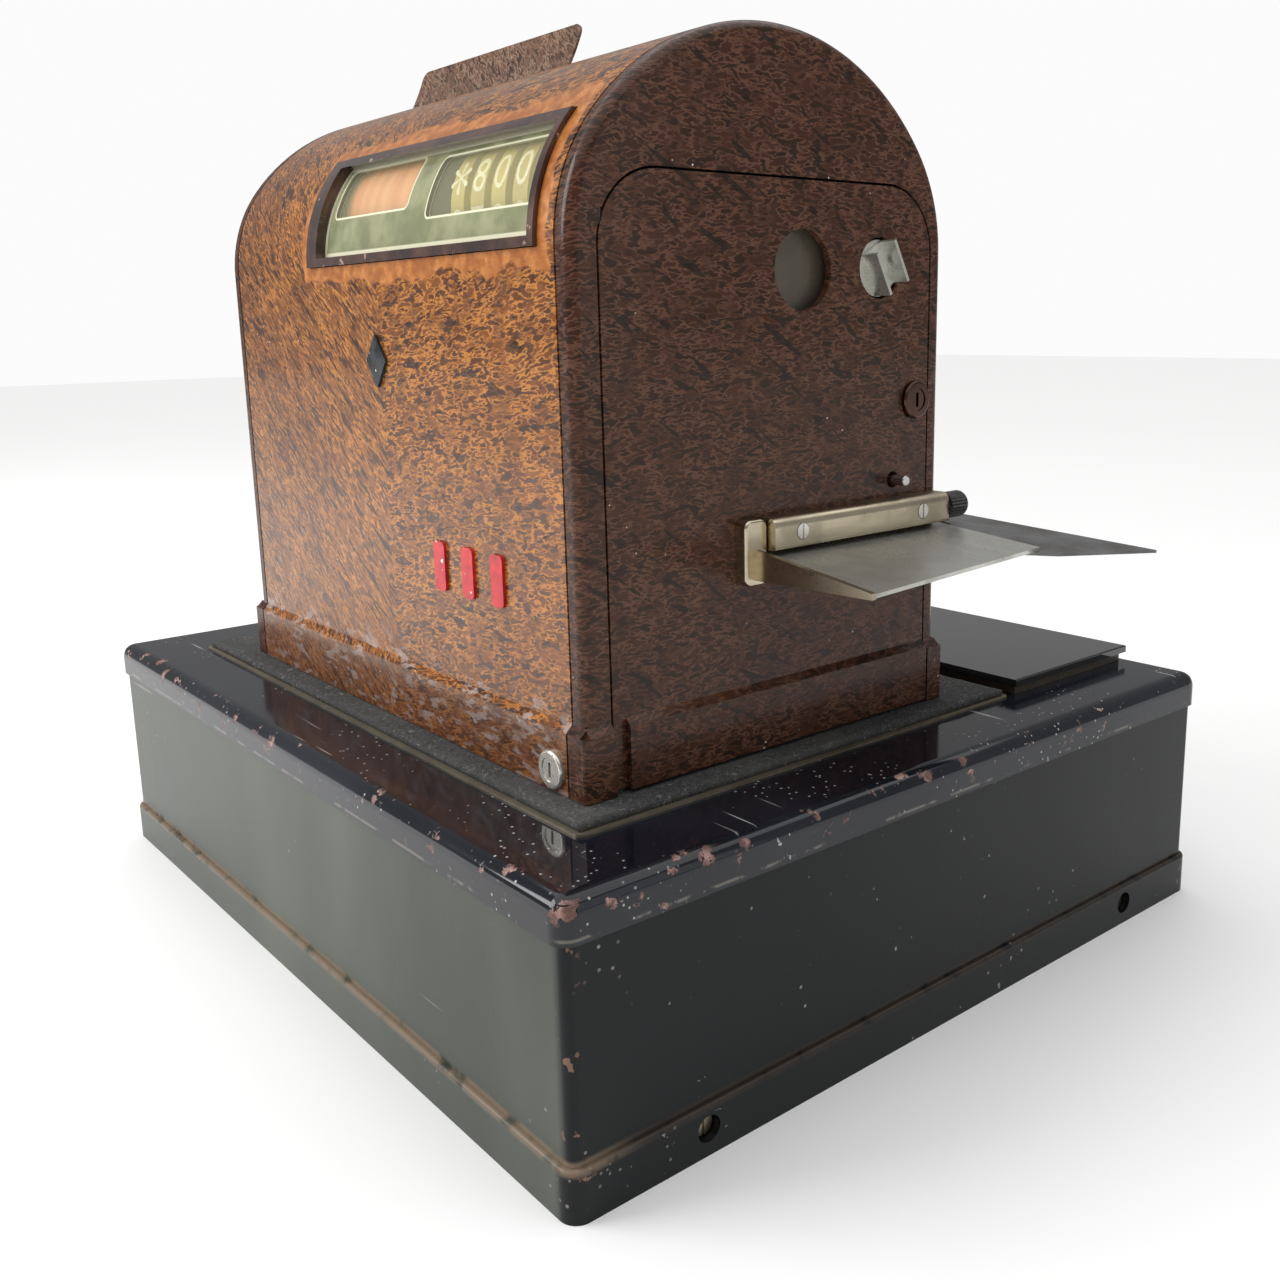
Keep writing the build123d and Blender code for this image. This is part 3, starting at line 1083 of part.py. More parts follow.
# ---------------------------------------------------------------- crank and gear train
def make_crank():
    axis = (HOUSE_Y, CRANK_Z)
    shaft_x0 = RIGHT_FRAME_X - 8
    shaft_x1 = ARM_X + CRANK_ARM_SHEET + 3
    tooth = 360 / CRANK_TEETH
    with BuildPart() as shaft:
        rod((shaft_x0, *axis), (1, 0, 0), CRANK_SHAFT_R, shaft_x1 - shaft_x0)
        with BuildSketch(Plane.YZ.offset(GEAR_X)):
            with BuildLine():
                Polyline(*gear_outline(axis, CRANK_TEETH, TRAIN_MODULE, -90 + tooth / 2, CRANK_TEETH),
                         close=True)
            make_face()
        extrude(amount=GEAR_WIDTH)
    keep(shaft, "crank_shaft")

    with BuildPart() as arm:
        with BuildSketch(Plane.YZ.offset(ARM_X)):
            with Locations(axis):
                Circle(14)
            with Locations((axis[0], axis[1] - CRANK_ARM)):
                Circle(10)
            with BuildLine():
                Polyline((axis[0] - 10, axis[1]), (axis[0] + 10, axis[1]),
                         (axis[0] + 7, axis[1] - CRANK_ARM), (axis[0] - 7, axis[1] - CRANK_ARM),
                         close=True)
            make_face()
        extrude(amount=CRANK_ARM_SHEET)
        rod((ARM_X - 1, *axis), (1, 0, 0), CRANK_SHAFT_R, CRANK_ARM_SHEET + 2, Mode.SUBTRACT)
        rod((ARM_X + CRANK_ARM_SHEET - 1, axis[0], axis[1] - CRANK_ARM), (1, 0, 0), 4, GRIP_LENGTH + 4)
    keep(arm, "crank_arm")

    grip_x = ARM_X + CRANK_ARM_SHEET + 0.5
    plane = Plane(origin=(grip_x, axis[0], axis[1] - CRANK_ARM), x_dir=(0, 0, 1), z_dir=(0, 1, 0))
    with BuildPart() as grip:
        with BuildSketch(plane):
            with BuildLine():
                Line((4 + RUN_FIT, 0), (GRIP_R * 0.62, 0))
                Spline((GRIP_R * 0.62, 0), (GRIP_R * 0.8, GRIP_LENGTH * 0.3),
                       (GRIP_R, GRIP_LENGTH * 0.68), (GRIP_R * 0.72, GRIP_LENGTH - 1))
                Line((GRIP_R * 0.72, GRIP_LENGTH - 1), (4 + RUN_FIT, GRIP_LENGTH - 1))
                Line((4 + RUN_FIT, GRIP_LENGTH - 1), (4 + RUN_FIT, 0))
            make_face()
        revolve(axis=Axis((grip_x, axis[0], axis[1] - CRANK_ARM), (1, 0, 0)))
    keep(grip, "crank_grip")


def make_main_gear():
    axis = (HOUSE_Y, MAIN_Z)
    with BuildPart() as gear:
        with BuildSketch(Plane.YZ.offset(GEAR_X + 0.5)):
            with BuildLine():
                Polyline(*gear_outline(axis, MAIN_TEETH, TRAIN_MODULE, 90, MAIN_TEETH), close=True)
            make_face()
        extrude(amount=GEAR_WIDTH - 1)
        rod((GEAR_X - 4, *axis), (1, 0, 0), 11, GEAR_WIDTH + 6)
        rod((GEAR_X - 5, *axis), (1, 0, 0), STUD_R + RUN_FIT, GEAR_WIDTH + 8, Mode.SUBTRACT)
    keep(gear, "main_gear")


make_plinth()
make_plinth_screws()
make_cabinet_body()
make_cabinet_cover()
make_base_board()
make_drawer_runners()
make_till_bell()
make_coin_plate()
make_base_pad()
make_drawer()
make_housing_wrapper()
make_left_end_cap()
make_right_end_cap()
make_window()
make_lever_plate()
make_top_lid()
make_badges()
make_customer_lock()
make_side_door()
make_door_hinge_pins()
make_door_lock()
make_shelf()
make_frame_controls()
make_frames()
make_shafts()
for position in range(LEVER_COUNT):
    make_lever(position)
    make_drum(position)
make_flag_drum()
make_paper_roll()
make_crank()
make_main_gear()
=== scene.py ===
import json
from math import cos, pi, radians, sin

import bmesh
import bpy
from mathutils import Matrix, Vector, noise


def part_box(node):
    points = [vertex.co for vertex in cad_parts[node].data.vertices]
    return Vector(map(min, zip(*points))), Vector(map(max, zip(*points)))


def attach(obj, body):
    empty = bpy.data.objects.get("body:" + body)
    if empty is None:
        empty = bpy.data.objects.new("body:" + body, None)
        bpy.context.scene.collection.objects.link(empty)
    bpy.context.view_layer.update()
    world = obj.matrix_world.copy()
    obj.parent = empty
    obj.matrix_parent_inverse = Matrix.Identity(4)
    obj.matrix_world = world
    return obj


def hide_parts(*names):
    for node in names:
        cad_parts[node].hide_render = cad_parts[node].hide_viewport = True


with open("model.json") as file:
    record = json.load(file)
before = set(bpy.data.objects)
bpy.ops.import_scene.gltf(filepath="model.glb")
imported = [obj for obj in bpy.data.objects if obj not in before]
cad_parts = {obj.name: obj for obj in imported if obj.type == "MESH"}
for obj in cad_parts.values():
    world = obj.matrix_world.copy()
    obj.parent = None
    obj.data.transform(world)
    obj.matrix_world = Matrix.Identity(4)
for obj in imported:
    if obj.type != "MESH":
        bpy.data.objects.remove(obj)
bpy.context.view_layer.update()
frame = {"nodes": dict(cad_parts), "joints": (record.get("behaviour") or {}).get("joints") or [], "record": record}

# ---------------------------------------------------------------- places, in metres
LOW, HIGH = 0, 1
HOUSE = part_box("housing_wrapper")
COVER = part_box("cabinet_cover")
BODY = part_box("cabinet_body")
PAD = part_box("base_pad")
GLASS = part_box("window_glass")
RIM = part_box("window_frame")
BAND_HEIGHT = 0.031            # the housing's bottom band
BAND_TOP = HOUSE[LOW].z + BAND_HEIGHT
CORNER_SUM = BODY[HIGH].x + BODY[HIGH].y   # |x| + |y| at the cabinet's sharp corners
BADGE_SPLIT = 0.30             # the lozenge is above this height, the bars below it
FLAG_TOP = (0.452, 0.460)      # heights between which the flag drum darkens
DRUMS = [f"indicator_drum_{number}" for number in range(1, 6)]
LEVERS = [f"lever_{number}" for number in range(1, 6)]
SHOWN_FIGURES = [0, 8, 0, 0, 0]
FIGURE_STEP = radians(36)      # drum turn from one figure to the next
LEVER_STEP = radians(8)        # lever turn from one figure to the next
FIGURE_VIEW = radians(24)      # where the window sees a drum, above +Y
PLATE_START = pi - radians(62) # where the numeral plate's noughts stand round its axis
DRUM_FIGURE = 0.0175           # heights of the figures
PLATE_FIGURE = 0.0078
PLATE_COLUMN = 0.0092          # from a lever's joint to its column of figures
FIGURE_DEPTH = 0.0002
FIGURE_SINK = 0.00005          # how far the figures start under the surface
GLYPH_CUTS = 9                 # bends of a figure round its cylinder


def joint_place(name):
    """Where a joint's axis stands in the frame."""
    return Vector(next(j for j in frame["joints"] if j["name"] == name)["pos_m"])


# ---------------------------------------------------------------- material building
class Paint:
    """One procedural material, with short ways to add nodes to it."""

    def __init__(self, name, color, roughness, metallic=0.0, coat=0.0, coat_roughness=0.05,
                 shine=0.5):
        self.material = bpy.data.materials.new(name)
        self.material.use_nodes = True
        self.tree = self.material.node_tree
        self.shader = self.tree.nodes["Principled BSDF"]
        self.place = self.add("ShaderNodeTexCoord").outputs["Object"]
        self.fill(self.shader, {"Base Color": color, "Roughness": roughness, "Metallic": metallic,
                                "Coat Weight": coat, "Coat Roughness": coat_roughness,
                                "Specular IOR Level": shine})

    def fill(self, node, inputs):
        for name, value in inputs.items():
            socket = node.inputs[name]
            if isinstance(value, bpy.types.NodeSocket):
                self.tree.links.new(value, socket)
            elif isinstance(value, (tuple, list)) and len(socket.default_value) == 4:
                socket.default_value = (*value, 1.0) if len(value) == 3 else value
            else:
                socket.default_value = value

    def add(self, kind, inputs=None, **settings):
        node = self.tree.nodes.new(kind)
        for name, value in settings.items():
            setattr(node, name, value)
        self.fill(node, inputs or {})
        return node

    def stretched(self, scale, turn=(0, 0, 0), vector=None):
        return self.add("ShaderNodeMapping", {"Vector": vector or self.place, "Scale": scale,
                                              "Rotation": turn}).outputs[0]

    def noise(self, scale, detail=3.0, vector=None, distortion=0.0, roughness=0.5):
        return self.add("ShaderNodeTexNoise", {"Vector": vector or self.place, "Scale": scale,
                                               "Detail": detail, "Distortion": distortion,
                                               "Roughness": roughness}).outputs[0]

    def cells(self, scale, vector=None, feature="DISTANCE_TO_EDGE"):
        node = self.add("ShaderNodeTexVoronoi", {"Vector": vector or self.place, "Scale": scale},
                        feature=feature)
        return node.outputs["Distance"]

    def math(self, operation, first, second=0.0, clamp=False):
        node = self.add("ShaderNodeMath", {}, operation=operation, use_clamp=clamp)
        for index, value in enumerate((first, second)):
            if isinstance(value, bpy.types.NodeSocket):
                self.tree.links.new(value, node.inputs[index])
            else:
                node.inputs[index].default_value = value
        return node.outputs[0]

    def apart(self, value, other):
        """How far a value is from another."""
        return self.math("ABSOLUTE", self.math("SUBTRACT", value, other))

    def step(self, value, start, end, low=0.0, high=1.0):
        """A soft step of a value from start to end."""
        node = self.add("ShaderNodeMapRange", {"Value": value, "From Min": start, "From Max": end,
                                               "To Min": low, "To Max": high},
                        interpolation_type="SMOOTHSTEP")
        return node.outputs[0]

    def mix(self, factor, first, second, blend="MIX"):
        node = self.add("ShaderNodeMix", {}, data_type="RGBA", blend_type=blend, clamp_factor=True)
        for index, value in ((0, factor), (6, first), (7, second)):
            if isinstance(value, bpy.types.NodeSocket):
                self.tree.links.new(value, node.inputs[index])
            elif index == 0:
                node.inputs[0].default_value = value
            else:
                node.inputs[index].default_value = (*value, 1.0)
        return node.outputs[2]

    def xyz(self):
        node = self.add("ShaderNodeSeparateXYZ", {"Vector": self.place})
        return node.outputs[0], node.outputs[1], node.outputs[2]

    def vector(self, x, y, z):
        return self.add("ShaderNodeCombineXYZ", {"X": x, "Y": y, "Z": z}).outputs[0]

    def bump(self, height, strength, distance, normal=None):
        inputs = {"Height": height, "Strength": strength, "Distance": distance}
        if normal is not None:
            inputs["Normal"] = normal
        return self.add("ShaderNodeBump", inputs).outputs[0]

    def spot(self, centre, radius, rough):
        """A mask round one point, with an uneven edge."""
        node = self.add("ShaderNodeVectorMath", {}, operation="DISTANCE")
        self.tree.links.new(self.place, node.inputs[0])
        node.inputs[1].default_value = centre
        uneven = self.math("ADD", node.outputs["Value"], self.math("MULTIPLY", rough, radius * 3))
        return self.step(uneven, radius * 2.12, radius * 2.02)

    def use(self, **inputs):
        names = {"color": "Base Color", "roughness": "Roughness", "normal": "Normal",
                 "metallic": "Metallic", "alpha": "Alpha"}
        self.fill(self.shader, {names[key]: value for key, value in inputs.items()})
        return self.material


# ---------------------------------------------------------------- enamels
FLAME_X = -0.035               # where the flame pattern of the enamel turns


def mottled_enamel(name, light, middle, dark, vein, fleck_amount, worn):
    """Glossy enamel with fine pale veins on brown, and dark flecks drawn into a flame pattern."""
    paint = Paint(name, middle, 0.22, coat=0.2 if worn else 0.08, coat_roughness=0.07,
                  shine=0.32 if worn else 0.2)
    x, y, z = paint.xyz()
    aside = paint.math("SUBTRACT", x, FLAME_X)
    steep = paint.math("MULTIPLY", paint.math("MAXIMUM", aside, 0.0), 0.75)
    flat = paint.math("MULTIPLY", paint.math("MINIMUM", aside, 0.0), -0.10)
    bent_z = paint.math("SUBTRACT", z, paint.math("ADD", steep, flat))
    flame = paint.vector(x, y, bent_z)
    drift = paint.add("ShaderNodeTexNoise",
                      {"Vector": flame, "Scale": 55.0, "Detail": 3.0}).outputs[1]
    shifted = paint.add("ShaderNodeVectorMath", {"Scale": 0.0055}, operation="SCALE")
    paint.tree.links.new(drift, shifted.inputs[0])
    warped = paint.add("ShaderNodeVectorMath", {}, operation="ADD")
    paint.tree.links.new(flame, warped.inputs[0])
    paint.tree.links.new(shifted.outputs[0], warped.inputs[1])
    vector = warped.outputs[0]

    ripple = paint.noise(350.0, 3.0, paint.stretched((0.38, 0.38, 1.25), vector=vector), 0.25)
    ridge = paint.apart(ripple, 0.5)
    patch = paint.step(paint.noise(85.0, 3.0, flame), 0.36, 0.54, 0.35, 1.0)
    veins = paint.math("MULTIPLY", paint.step(ridge, 0.060, 0.020), patch)
    tone = paint.noise(120.0, 5.0, paint.stretched((0.5, 0.5, 1.0), vector=vector), roughness=0.65)
    color = paint.mix(paint.step(tone, 0.38, 0.62), middle, light)
    color = paint.mix(paint.math("MULTIPLY", paint.step(ripple, 0.54, 0.61), 0.6), color, dark)
    color = paint.mix(paint.math("MULTIPLY", veins, 0.85), color, vein)
    slant = paint.vector(x, y, paint.math("SUBTRACT", bent_z, paint.math("MULTIPLY", y, 0.6)))
    fleck_noise = paint.noise(140.0, 3.0, paint.stretched((0.36, 0.32, 1.2), vector=slant), 0.2)
    flecks = paint.step(fleck_noise, 0.66 - fleck_amount, 0.685 - fleck_amount)
    color = paint.mix(paint.math("MULTIPLY", flecks, 0.85), color, dark)
    rough = paint.noise(140.0, 4.0)

    if worn:
        broad = paint.noise(14.0, 4.0, flame)
        color = paint.mix(paint.step(broad, 0.4, 0.65, 0.0, 0.3), color, middle, "MULTIPLY")
        color = undercoat_round_window(paint, color, rough)
        scrape_place = paint.stretched((0.45, 0.8, 1.2), (0, 0.5, 0))
        scrapes = paint.step(paint.noise(190.0, 6.0, scrape_place), 0.53, 0.57)
        scrapes = paint.math("MULTIPLY", scrapes, paint.step(paint.noise(38.0, 3.0), 0.42, 0.56))
        low = paint.step(z, BAND_TOP + 0.020, BAND_TOP - 0.006)
        scrapes = paint.math("MULTIPLY", scrapes, low)
        color = paint.mix(paint.math("MULTIPLY", scrapes, 0.75), color, (0.46, 0.39, 0.37))
        dark_low = paint.math("MULTIPLY", paint.step(z, BAND_TOP + 0.002, BAND_TOP - 0.004), 0.55)
        color = paint.mix(dark_low, color, (0.08, 0.03, 0.015))
    nicks = paint.step(paint.cells(130.0, feature="F1"), 0.075, 0.05)
    nicks = paint.math("MULTIPLY", nicks, paint.step(paint.noise(24.0), 0.56, 0.64))
    color = paint.mix(nicks, color, (0.70, 0.62, 0.55))
    height = paint.math("ADD", paint.math("MULTIPLY", veins, 0.6), rough)
    normal = paint.bump(height, 0.16, 0.0006)
    gloss = paint.step(rough, 0.3, 0.7, 0.14, 0.30)
    return paint.use(color=color, roughness=gloss, normal=normal)


def undercoat_round_window(paint, color, rough):
    """Bare orange undercoat in an uneven band round the window frame."""
    x, y, z = paint.xyz()
    mid = (RIM[LOW] + RIM[HIGH]) / 2
    half = (RIM[HIGH] - RIM[LOW]) / 2
    beside = paint.math("SUBTRACT", paint.apart(x, mid.x), half.x)
    above = paint.math("SUBTRACT", paint.apart(z, mid.z), half.z)
    away = paint.math("MAXIMUM", beside, above)
    uneven = paint.math("MULTIPLY", paint.noise(45.0, 4.0), 0.020)
    away = paint.math("ADD", away, uneven)
    band = paint.math("MULTIPLY", paint.step(away, 0.0195, 0.0175), paint.step(y, 0.10, 0.12))
    orange = paint.mix(paint.step(rough, 0.35, 0.7), (0.36, 0.115, 0.025), (0.56, 0.21, 0.048))
    return paint.mix(paint.math("MULTIPLY", band, 0.92), color, orange)


def brown_enamel():
    return mottled_enamel("brown_enamel", (0.225, 0.074, 0.015), (0.130, 0.042, 0.012),
                          (0.034, 0.014, 0.009), (0.56, 0.215, 0.036), 0.045, True)


# A darker copy of the brown enamel for the end caps and the side door: its darkness is painted shade of the end
# faces; its fewer flecks and duller gloss are the ends' own.
def painted_shade_end_enamel():
    return mottled_enamel("painted_shade_end_enamel", (0.062, 0.023, 0.012), (0.042, 0.0155, 0.0095),
                          (0.017, 0.0105, 0.007), (0.135, 0.060, 0.035), 0.035, False)


def lid_enamel():
    return mottled_enamel("lid_enamel", (0.16, 0.080, 0.050), (0.10, 0.050, 0.032),
                          (0.03, 0.02, 0.016), (0.30, 0.19, 0.13), 0.04, False)


def edge_distance(paint, box):
    """How far a point is inside the box's nearest upright side."""
    x, y, z = paint.xyz()
    centre = (box[LOW] + box[HIGH]) / 2
    half = (box[HIGH] - box[LOW]) / 2
    inside = [paint.math("SUBTRACT", size, paint.apart(value, middle))
              for value, size, middle in ((x, half.x, centre.x), (y, half.y, centre.y))]
    return paint.math("MINIMUM", *inside), z


def specks(paint, scale, amount):
    """Pin-point pale specks, thicker in some places than in others."""
    dots = paint.step(paint.cells(scale, feature="F1"), 0.17, 0.10)
    place = paint.step(paint.noise(16.0, 3.0), 0.62 - amount, 0.72 - amount)
    return paint.math("MULTIPLY", dots, place)


def scratches(paint, turn, amount):
    """Fine straight scratches along one direction."""
    lines = paint.noise(190.0, 2.0, paint.stretched((0.035, 1.0, 1.0), turn))
    place = paint.step(paint.noise(9.0, 2.0), 0.5, 0.6)
    return paint.math("MULTIPLY", paint.step(lines, 0.70 - amount, 0.74 - amount), place)


# Larger chips down to the primer, as (x, y, z, radius).
PRIMER_SPOTS = ((-0.280, 0.240, 0.142, 0.0095), (-0.2815, 0.165, 0.143, 0.0065),
                (-0.2815, 0.142, 0.143, 0.004), (-0.282, 0.02, 0.143, 0.006),
                (-0.281, -0.01, 0.144, 0.004), (-0.12, 0.2415, 0.143, 0.004),
                (0.06, 0.2415, 0.142, 0.004), (0.19, 0.2415, 0.141, 0.006),
                (0.21, 0.235, 0.145, 0.006), (-0.2825, 0.19, 0.128, 0.003))


def black_enamel_top():
    """Mirror-black stoving enamel, specked and scratched, chipped to primer along its edge."""
    paint = Paint("black_enamel_top", (0.012, 0.012, 0.014), 0.08, shine=0.45)
    rough = paint.noise(150.0, 5.0, roughness=0.7)
    haze = paint.noise(7.0, 4.0)
    color = paint.mix(paint.step(haze, 0.4, 0.7), (0.005, 0.006, 0.010), (0.012, 0.014, 0.020))
    marks = paint.math("MAXIMUM", specks(paint, 210.0, 0.10), scratches(paint, (0, 0, 0.5), 0.0))
    marks = paint.math("MAXIMUM", marks, scratches(paint, (0, 0, 1.9), 0.0))
    color = paint.mix(paint.math("MULTIPLY", marks, 0.75), color, (0.50, 0.50, 0.50))
    inside, z = edge_distance(paint, COVER)
    edge = paint.math("MULTIPLY", paint.step(inside, 0.009, 0.004), paint.step(z, 0.126, 0.139))
    chips = paint.step(paint.noise(85.0, 5.0, roughness=0.65), 0.61, 0.635)
    chips = paint.math("MULTIPLY", edge, chips)
    for x, y, z_place, radius in PRIMER_SPOTS:
        chips = paint.math("MAXIMUM", chips, paint.spot((x, y, z_place), radius, rough))
    primer = paint.mix(paint.step(rough, 0.4, 0.65), (0.12, 0.055, 0.045), (0.42, 0.26, 0.22))
    color = paint.mix(chips, color, primer)
    lip = paint.math("MULTIPLY", paint.step(z, 0.1292, 0.1282), paint.step(z, 0.1268, 0.1278))
    worn_line = paint.math("MULTIPLY", lip, paint.step(paint.noise(60.0, 4.0), 0.50, 0.58))
    color = paint.mix(paint.math("MULTIPLY", worn_line, 0.4), color, (0.30, 0.27, 0.23))
    gloss = paint.math("ADD", paint.step(haze, 0.3, 0.8, 0.05, 0.16),
                       paint.math("MULTIPLY", paint.math("MAXIMUM", chips, marks), 0.4))
    height = paint.math("SUBTRACT", paint.math("MULTIPLY", haze, 0.4), chips)
    return paint.use(color=color, roughness=gloss, normal=paint.bump(height, 0.25, 0.0004))


def black_enamel():
    """Satin black enamel of the cabinet's sides, rubbed along the foot and the corners; its greenish-grey tone is
    partly painted reflection, and its -X side is painted shade.
    """
    paint = Paint("black_enamel", (0.02, 0.022, 0.02), 0.3, shine=0.24)
    rough = paint.noise(85.0, 5.0)
    haze = paint.noise(6.0, 4.0, paint.stretched((1, 1, 0.4)))
    # Greenish-grey tone, partly the enamel's own colour and partly painted reflection.
    color = paint.mix(paint.step(haze, 0.35, 0.7), (0.040, 0.046, 0.036), (0.100, 0.112, 0.087))
    # Painted shade: the cabinet's -X side, beyond x = -0.27, is darkened almost to black.
    color = paint.mix(paint.step(paint.xyz()[0], -0.27, -0.276), color, (0.004, 0.005, 0.006))
    marks = paint.math("MAXIMUM", specks(paint, 160.0, 0.03), scratches(paint, (0, 0.3, 0), -0.02))
    color = paint.mix(paint.math("MULTIPLY", marks, 0.6), color, (0.42, 0.40, 0.37))
    x, y, z = paint.xyz()
    foot = BODY[LOW].z
    ledge = paint.math("MULTIPLY", paint.step(z, foot - 0.004, foot - 0.0005),
                       paint.step(z, foot + 0.004, foot + 0.001))
    ledge = paint.math("MULTIPLY", ledge, paint.step(rough, 0.30, 0.50))
    customer_side = paint.step(y, 0.20, 0.24, 0.12, 0.85)
    color = paint.mix(paint.math("MULTIPLY", ledge, customer_side), color, (0.22, 0.16, 0.11))
    corner_sum = paint.math("ADD", paint.math("ABSOLUTE", x), paint.math("ABSOLUTE", y))
    near_corner = paint.step(corner_sum, CORNER_SUM - 0.009, CORNER_SUM - 0.003)
    chips = paint.math("MULTIPLY", near_corner, paint.step(paint.noise(110.0, 5.0), 0.62, 0.65))
    color = paint.mix(chips, color, (0.20, 0.11, 0.08))
    gloss = paint.math("ADD", paint.step(haze, 0.3, 0.7, 0.24, 0.38),
                       paint.math("MULTIPLY", marks, 0.3))
    height = paint.math("SUBTRACT", paint.math("MULTIPLY", rough, 0.35), chips)
    return paint.use(color=color, roughness=gloss, normal=paint.bump(height, 0.2, 0.0004))


def gloss_black():
    paint = Paint("gloss_black", (0.008, 0.008, 0.009), 0.04, coat=0.6, coat_roughness=0.02)
    haze = paint.noise(5.0, 3.0)
    marks = paint.math("MAXIMUM", specks(paint, 240.0, 0.0), scratches(paint, (0, 0, 0.2), -0.03))
    color = paint.mix(paint.math("MULTIPLY", marks, 0.5), (0.008, 0.008, 0.009), (0.35, 0.35, 0.35))
    gloss = paint.math("ADD", paint.step(haze, 0.3, 0.7, 0.03, 0.07),
                       paint.math("MULTIPLY", marks, 0.3))
    return paint.use(color=color, roughness=gloss, normal=paint.bump(haze, 0.1, 0.0006))


# ---------------------------------------------------------------- metals and other finishes
def worn_metal(name, bright, dull, roughness, streak=(1, 1, 1), metallic=1.0,
               speck=(0.05, 0.045, 0.04)):
    """Bare or plated metal with streaks, dull patches, specks and fine scratches."""
    paint = Paint(name, bright, roughness, metallic)
    grain = paint.noise(260.0, 3.0, paint.stretched(streak))
    tone = paint.noise(32.0, 5.0)
    color = paint.mix(paint.step(tone, 0.35, 0.68), bright, dull)
    color = paint.mix(paint.step(grain, 0.35, 0.75, 0.0, 0.35), color, dull)
    pits = specks(paint, 330.0, 0.08)
    color = paint.mix(paint.math("MULTIPLY", pits, 0.8), color, speck)
    lines = scratches(paint, (0, 0.4, 0.8), 0.02)
    color = paint.mix(paint.math("MULTIPLY", lines, 0.4), color, bright)
    gloss = paint.math("ADD", paint.step(tone, 0.3, 0.7, roughness * 0.7, roughness * 1.25),
                       paint.math("MULTIPLY", pits, 0.25))
    height = paint.math("SUBTRACT", grain, pits)
    return paint.use(color=color, roughness=gloss, normal=paint.bump(height, 0.12, 0.0003))


def nickel():
    return worn_metal("nickel", (0.76, 0.74, 0.70), (0.56, 0.52, 0.46), 0.22, metallic=0.8)


def bright_steel():
    return worn_metal("bright_steel", (0.60, 0.60, 0.59), (0.40, 0.38, 0.36), 0.28, (0.1, 1, 1))


def lever_steel():
    return worn_metal("lever_steel", (0.64, 0.62, 0.58), (0.45, 0.42, 0.37), 0.22)


def bronze():
    return worn_metal("bronze", (0.10, 0.055, 0.045), (0.045, 0.026, 0.022), 0.22)


def old_brass():
    return worn_metal("old_brass", (0.56, 0.49, 0.36), (0.34, 0.29, 0.21), 0.30, (1, 0.15, 1))


def grey_steel():
    return worn_metal("grey_steel", (0.60, 0.60, 0.55), (0.42, 0.41, 0.37), 0.34,
                      (0.12, 1, 1), 0.75)


def dark_plate():
    return worn_metal("dark_plate", (0.18, 0.175, 0.175), (0.10, 0.095, 0.092), 0.42,
                      (0.12, 1, 1), 0.6)


def dark_steel():
    return worn_metal("dark_steel", (0.10, 0.10, 0.105), (0.06, 0.055, 0.05), 0.5, metallic=0.7)


def bell_brass():
    return worn_metal("bell_brass", (0.78, 0.58, 0.26), (0.50, 0.35, 0.16), 0.2)


def olive_metal():
    return worn_metal("olive_metal", (0.100, 0.080, 0.058), (0.062, 0.050, 0.038), 0.34,
                      (1, 1, 0.2), 0.1)


def tray_metal():
    return worn_metal("tray_metal", (0.30, 0.26, 0.19), (0.16, 0.135, 0.10), 0.45, metallic=0.7)


def dark_frame():
    """Glossy dark-brown frame, rubbed pale on a few edges."""
    paint = Paint("dark_frame", (0.05, 0.022, 0.016), 0.12, coat=0.6, coat_roughness=0.04)
    tone = paint.noise(60.0, 5.0)
    color = paint.mix(paint.step(tone, 0.35, 0.7), (0.028, 0.014, 0.012), (0.085, 0.035, 0.024))
    rubbed = paint.step(paint.noise(130.0, 5.0), 0.66, 0.70)
    color = paint.mix(paint.math("MULTIPLY", rubbed, 0.7), color, (0.50, 0.36, 0.28))
    gloss = paint.step(tone, 0.3, 0.7, 0.08, 0.2)
    return paint.use(color=color, roughness=gloss, normal=paint.bump(tone, 0.15, 0.0004))


def black_knob():
    """Black bakelite; the feed knob's ribs follow its axis."""
    paint = Paint("black_knob", (0.014, 0.013, 0.013), 0.24, coat=0.3, coat_roughness=0.1)
    x, _, z = paint.xyz()
    centre = joint_place("feed_knob_turn")
    angle = paint.math("ARCTAN2", paint.math("SUBTRACT", z, centre.z),
                       paint.math("SUBTRACT", x, centre.x))
    ribs = paint.math("SINE", paint.math("MULTIPLY", angle, 26.0))
    on_knob = paint.step(x, -0.19, -0.20)
    fine = paint.noise(180.0, 4.0)
    color = paint.mix(paint.step(fine, 0.6, 0.75), (0.014, 0.013, 0.013), (0.07, 0.065, 0.06))
    height = paint.math("ADD", paint.math("MULTIPLY", ribs, on_knob),
                        paint.math("MULTIPLY", fine, 0.3))
    return paint.use(color=color, roughness=paint.step(fine, 0.3, 0.7, 0.18, 0.36),
                     normal=paint.bump(height, 0.7, 0.0008))


def wood():
    """Oiled beech, its grain level on every upright face."""
    paint = Paint("wood", (0.36, 0.22, 0.12), 0.5)
    grain = paint.noise(75.0, 6.0, paint.stretched((0.06, 0.08, 1)), 0.8)
    pores = paint.noise(420.0, 2.0, paint.stretched((0.06, 0.08, 1)))
    color = paint.mix(paint.step(grain, 0.3, 0.7), (0.24, 0.135, 0.065), (0.47, 0.30, 0.165))
    color = paint.mix(paint.step(pores, 0.62, 0.72, 0.0, 0.5), color, (0.14, 0.08, 0.045))
    return paint.use(color=color, roughness=paint.step(grain, 0.3, 0.7, 0.42, 0.6),
                     normal=paint.bump(pores, 0.2, 0.0003))


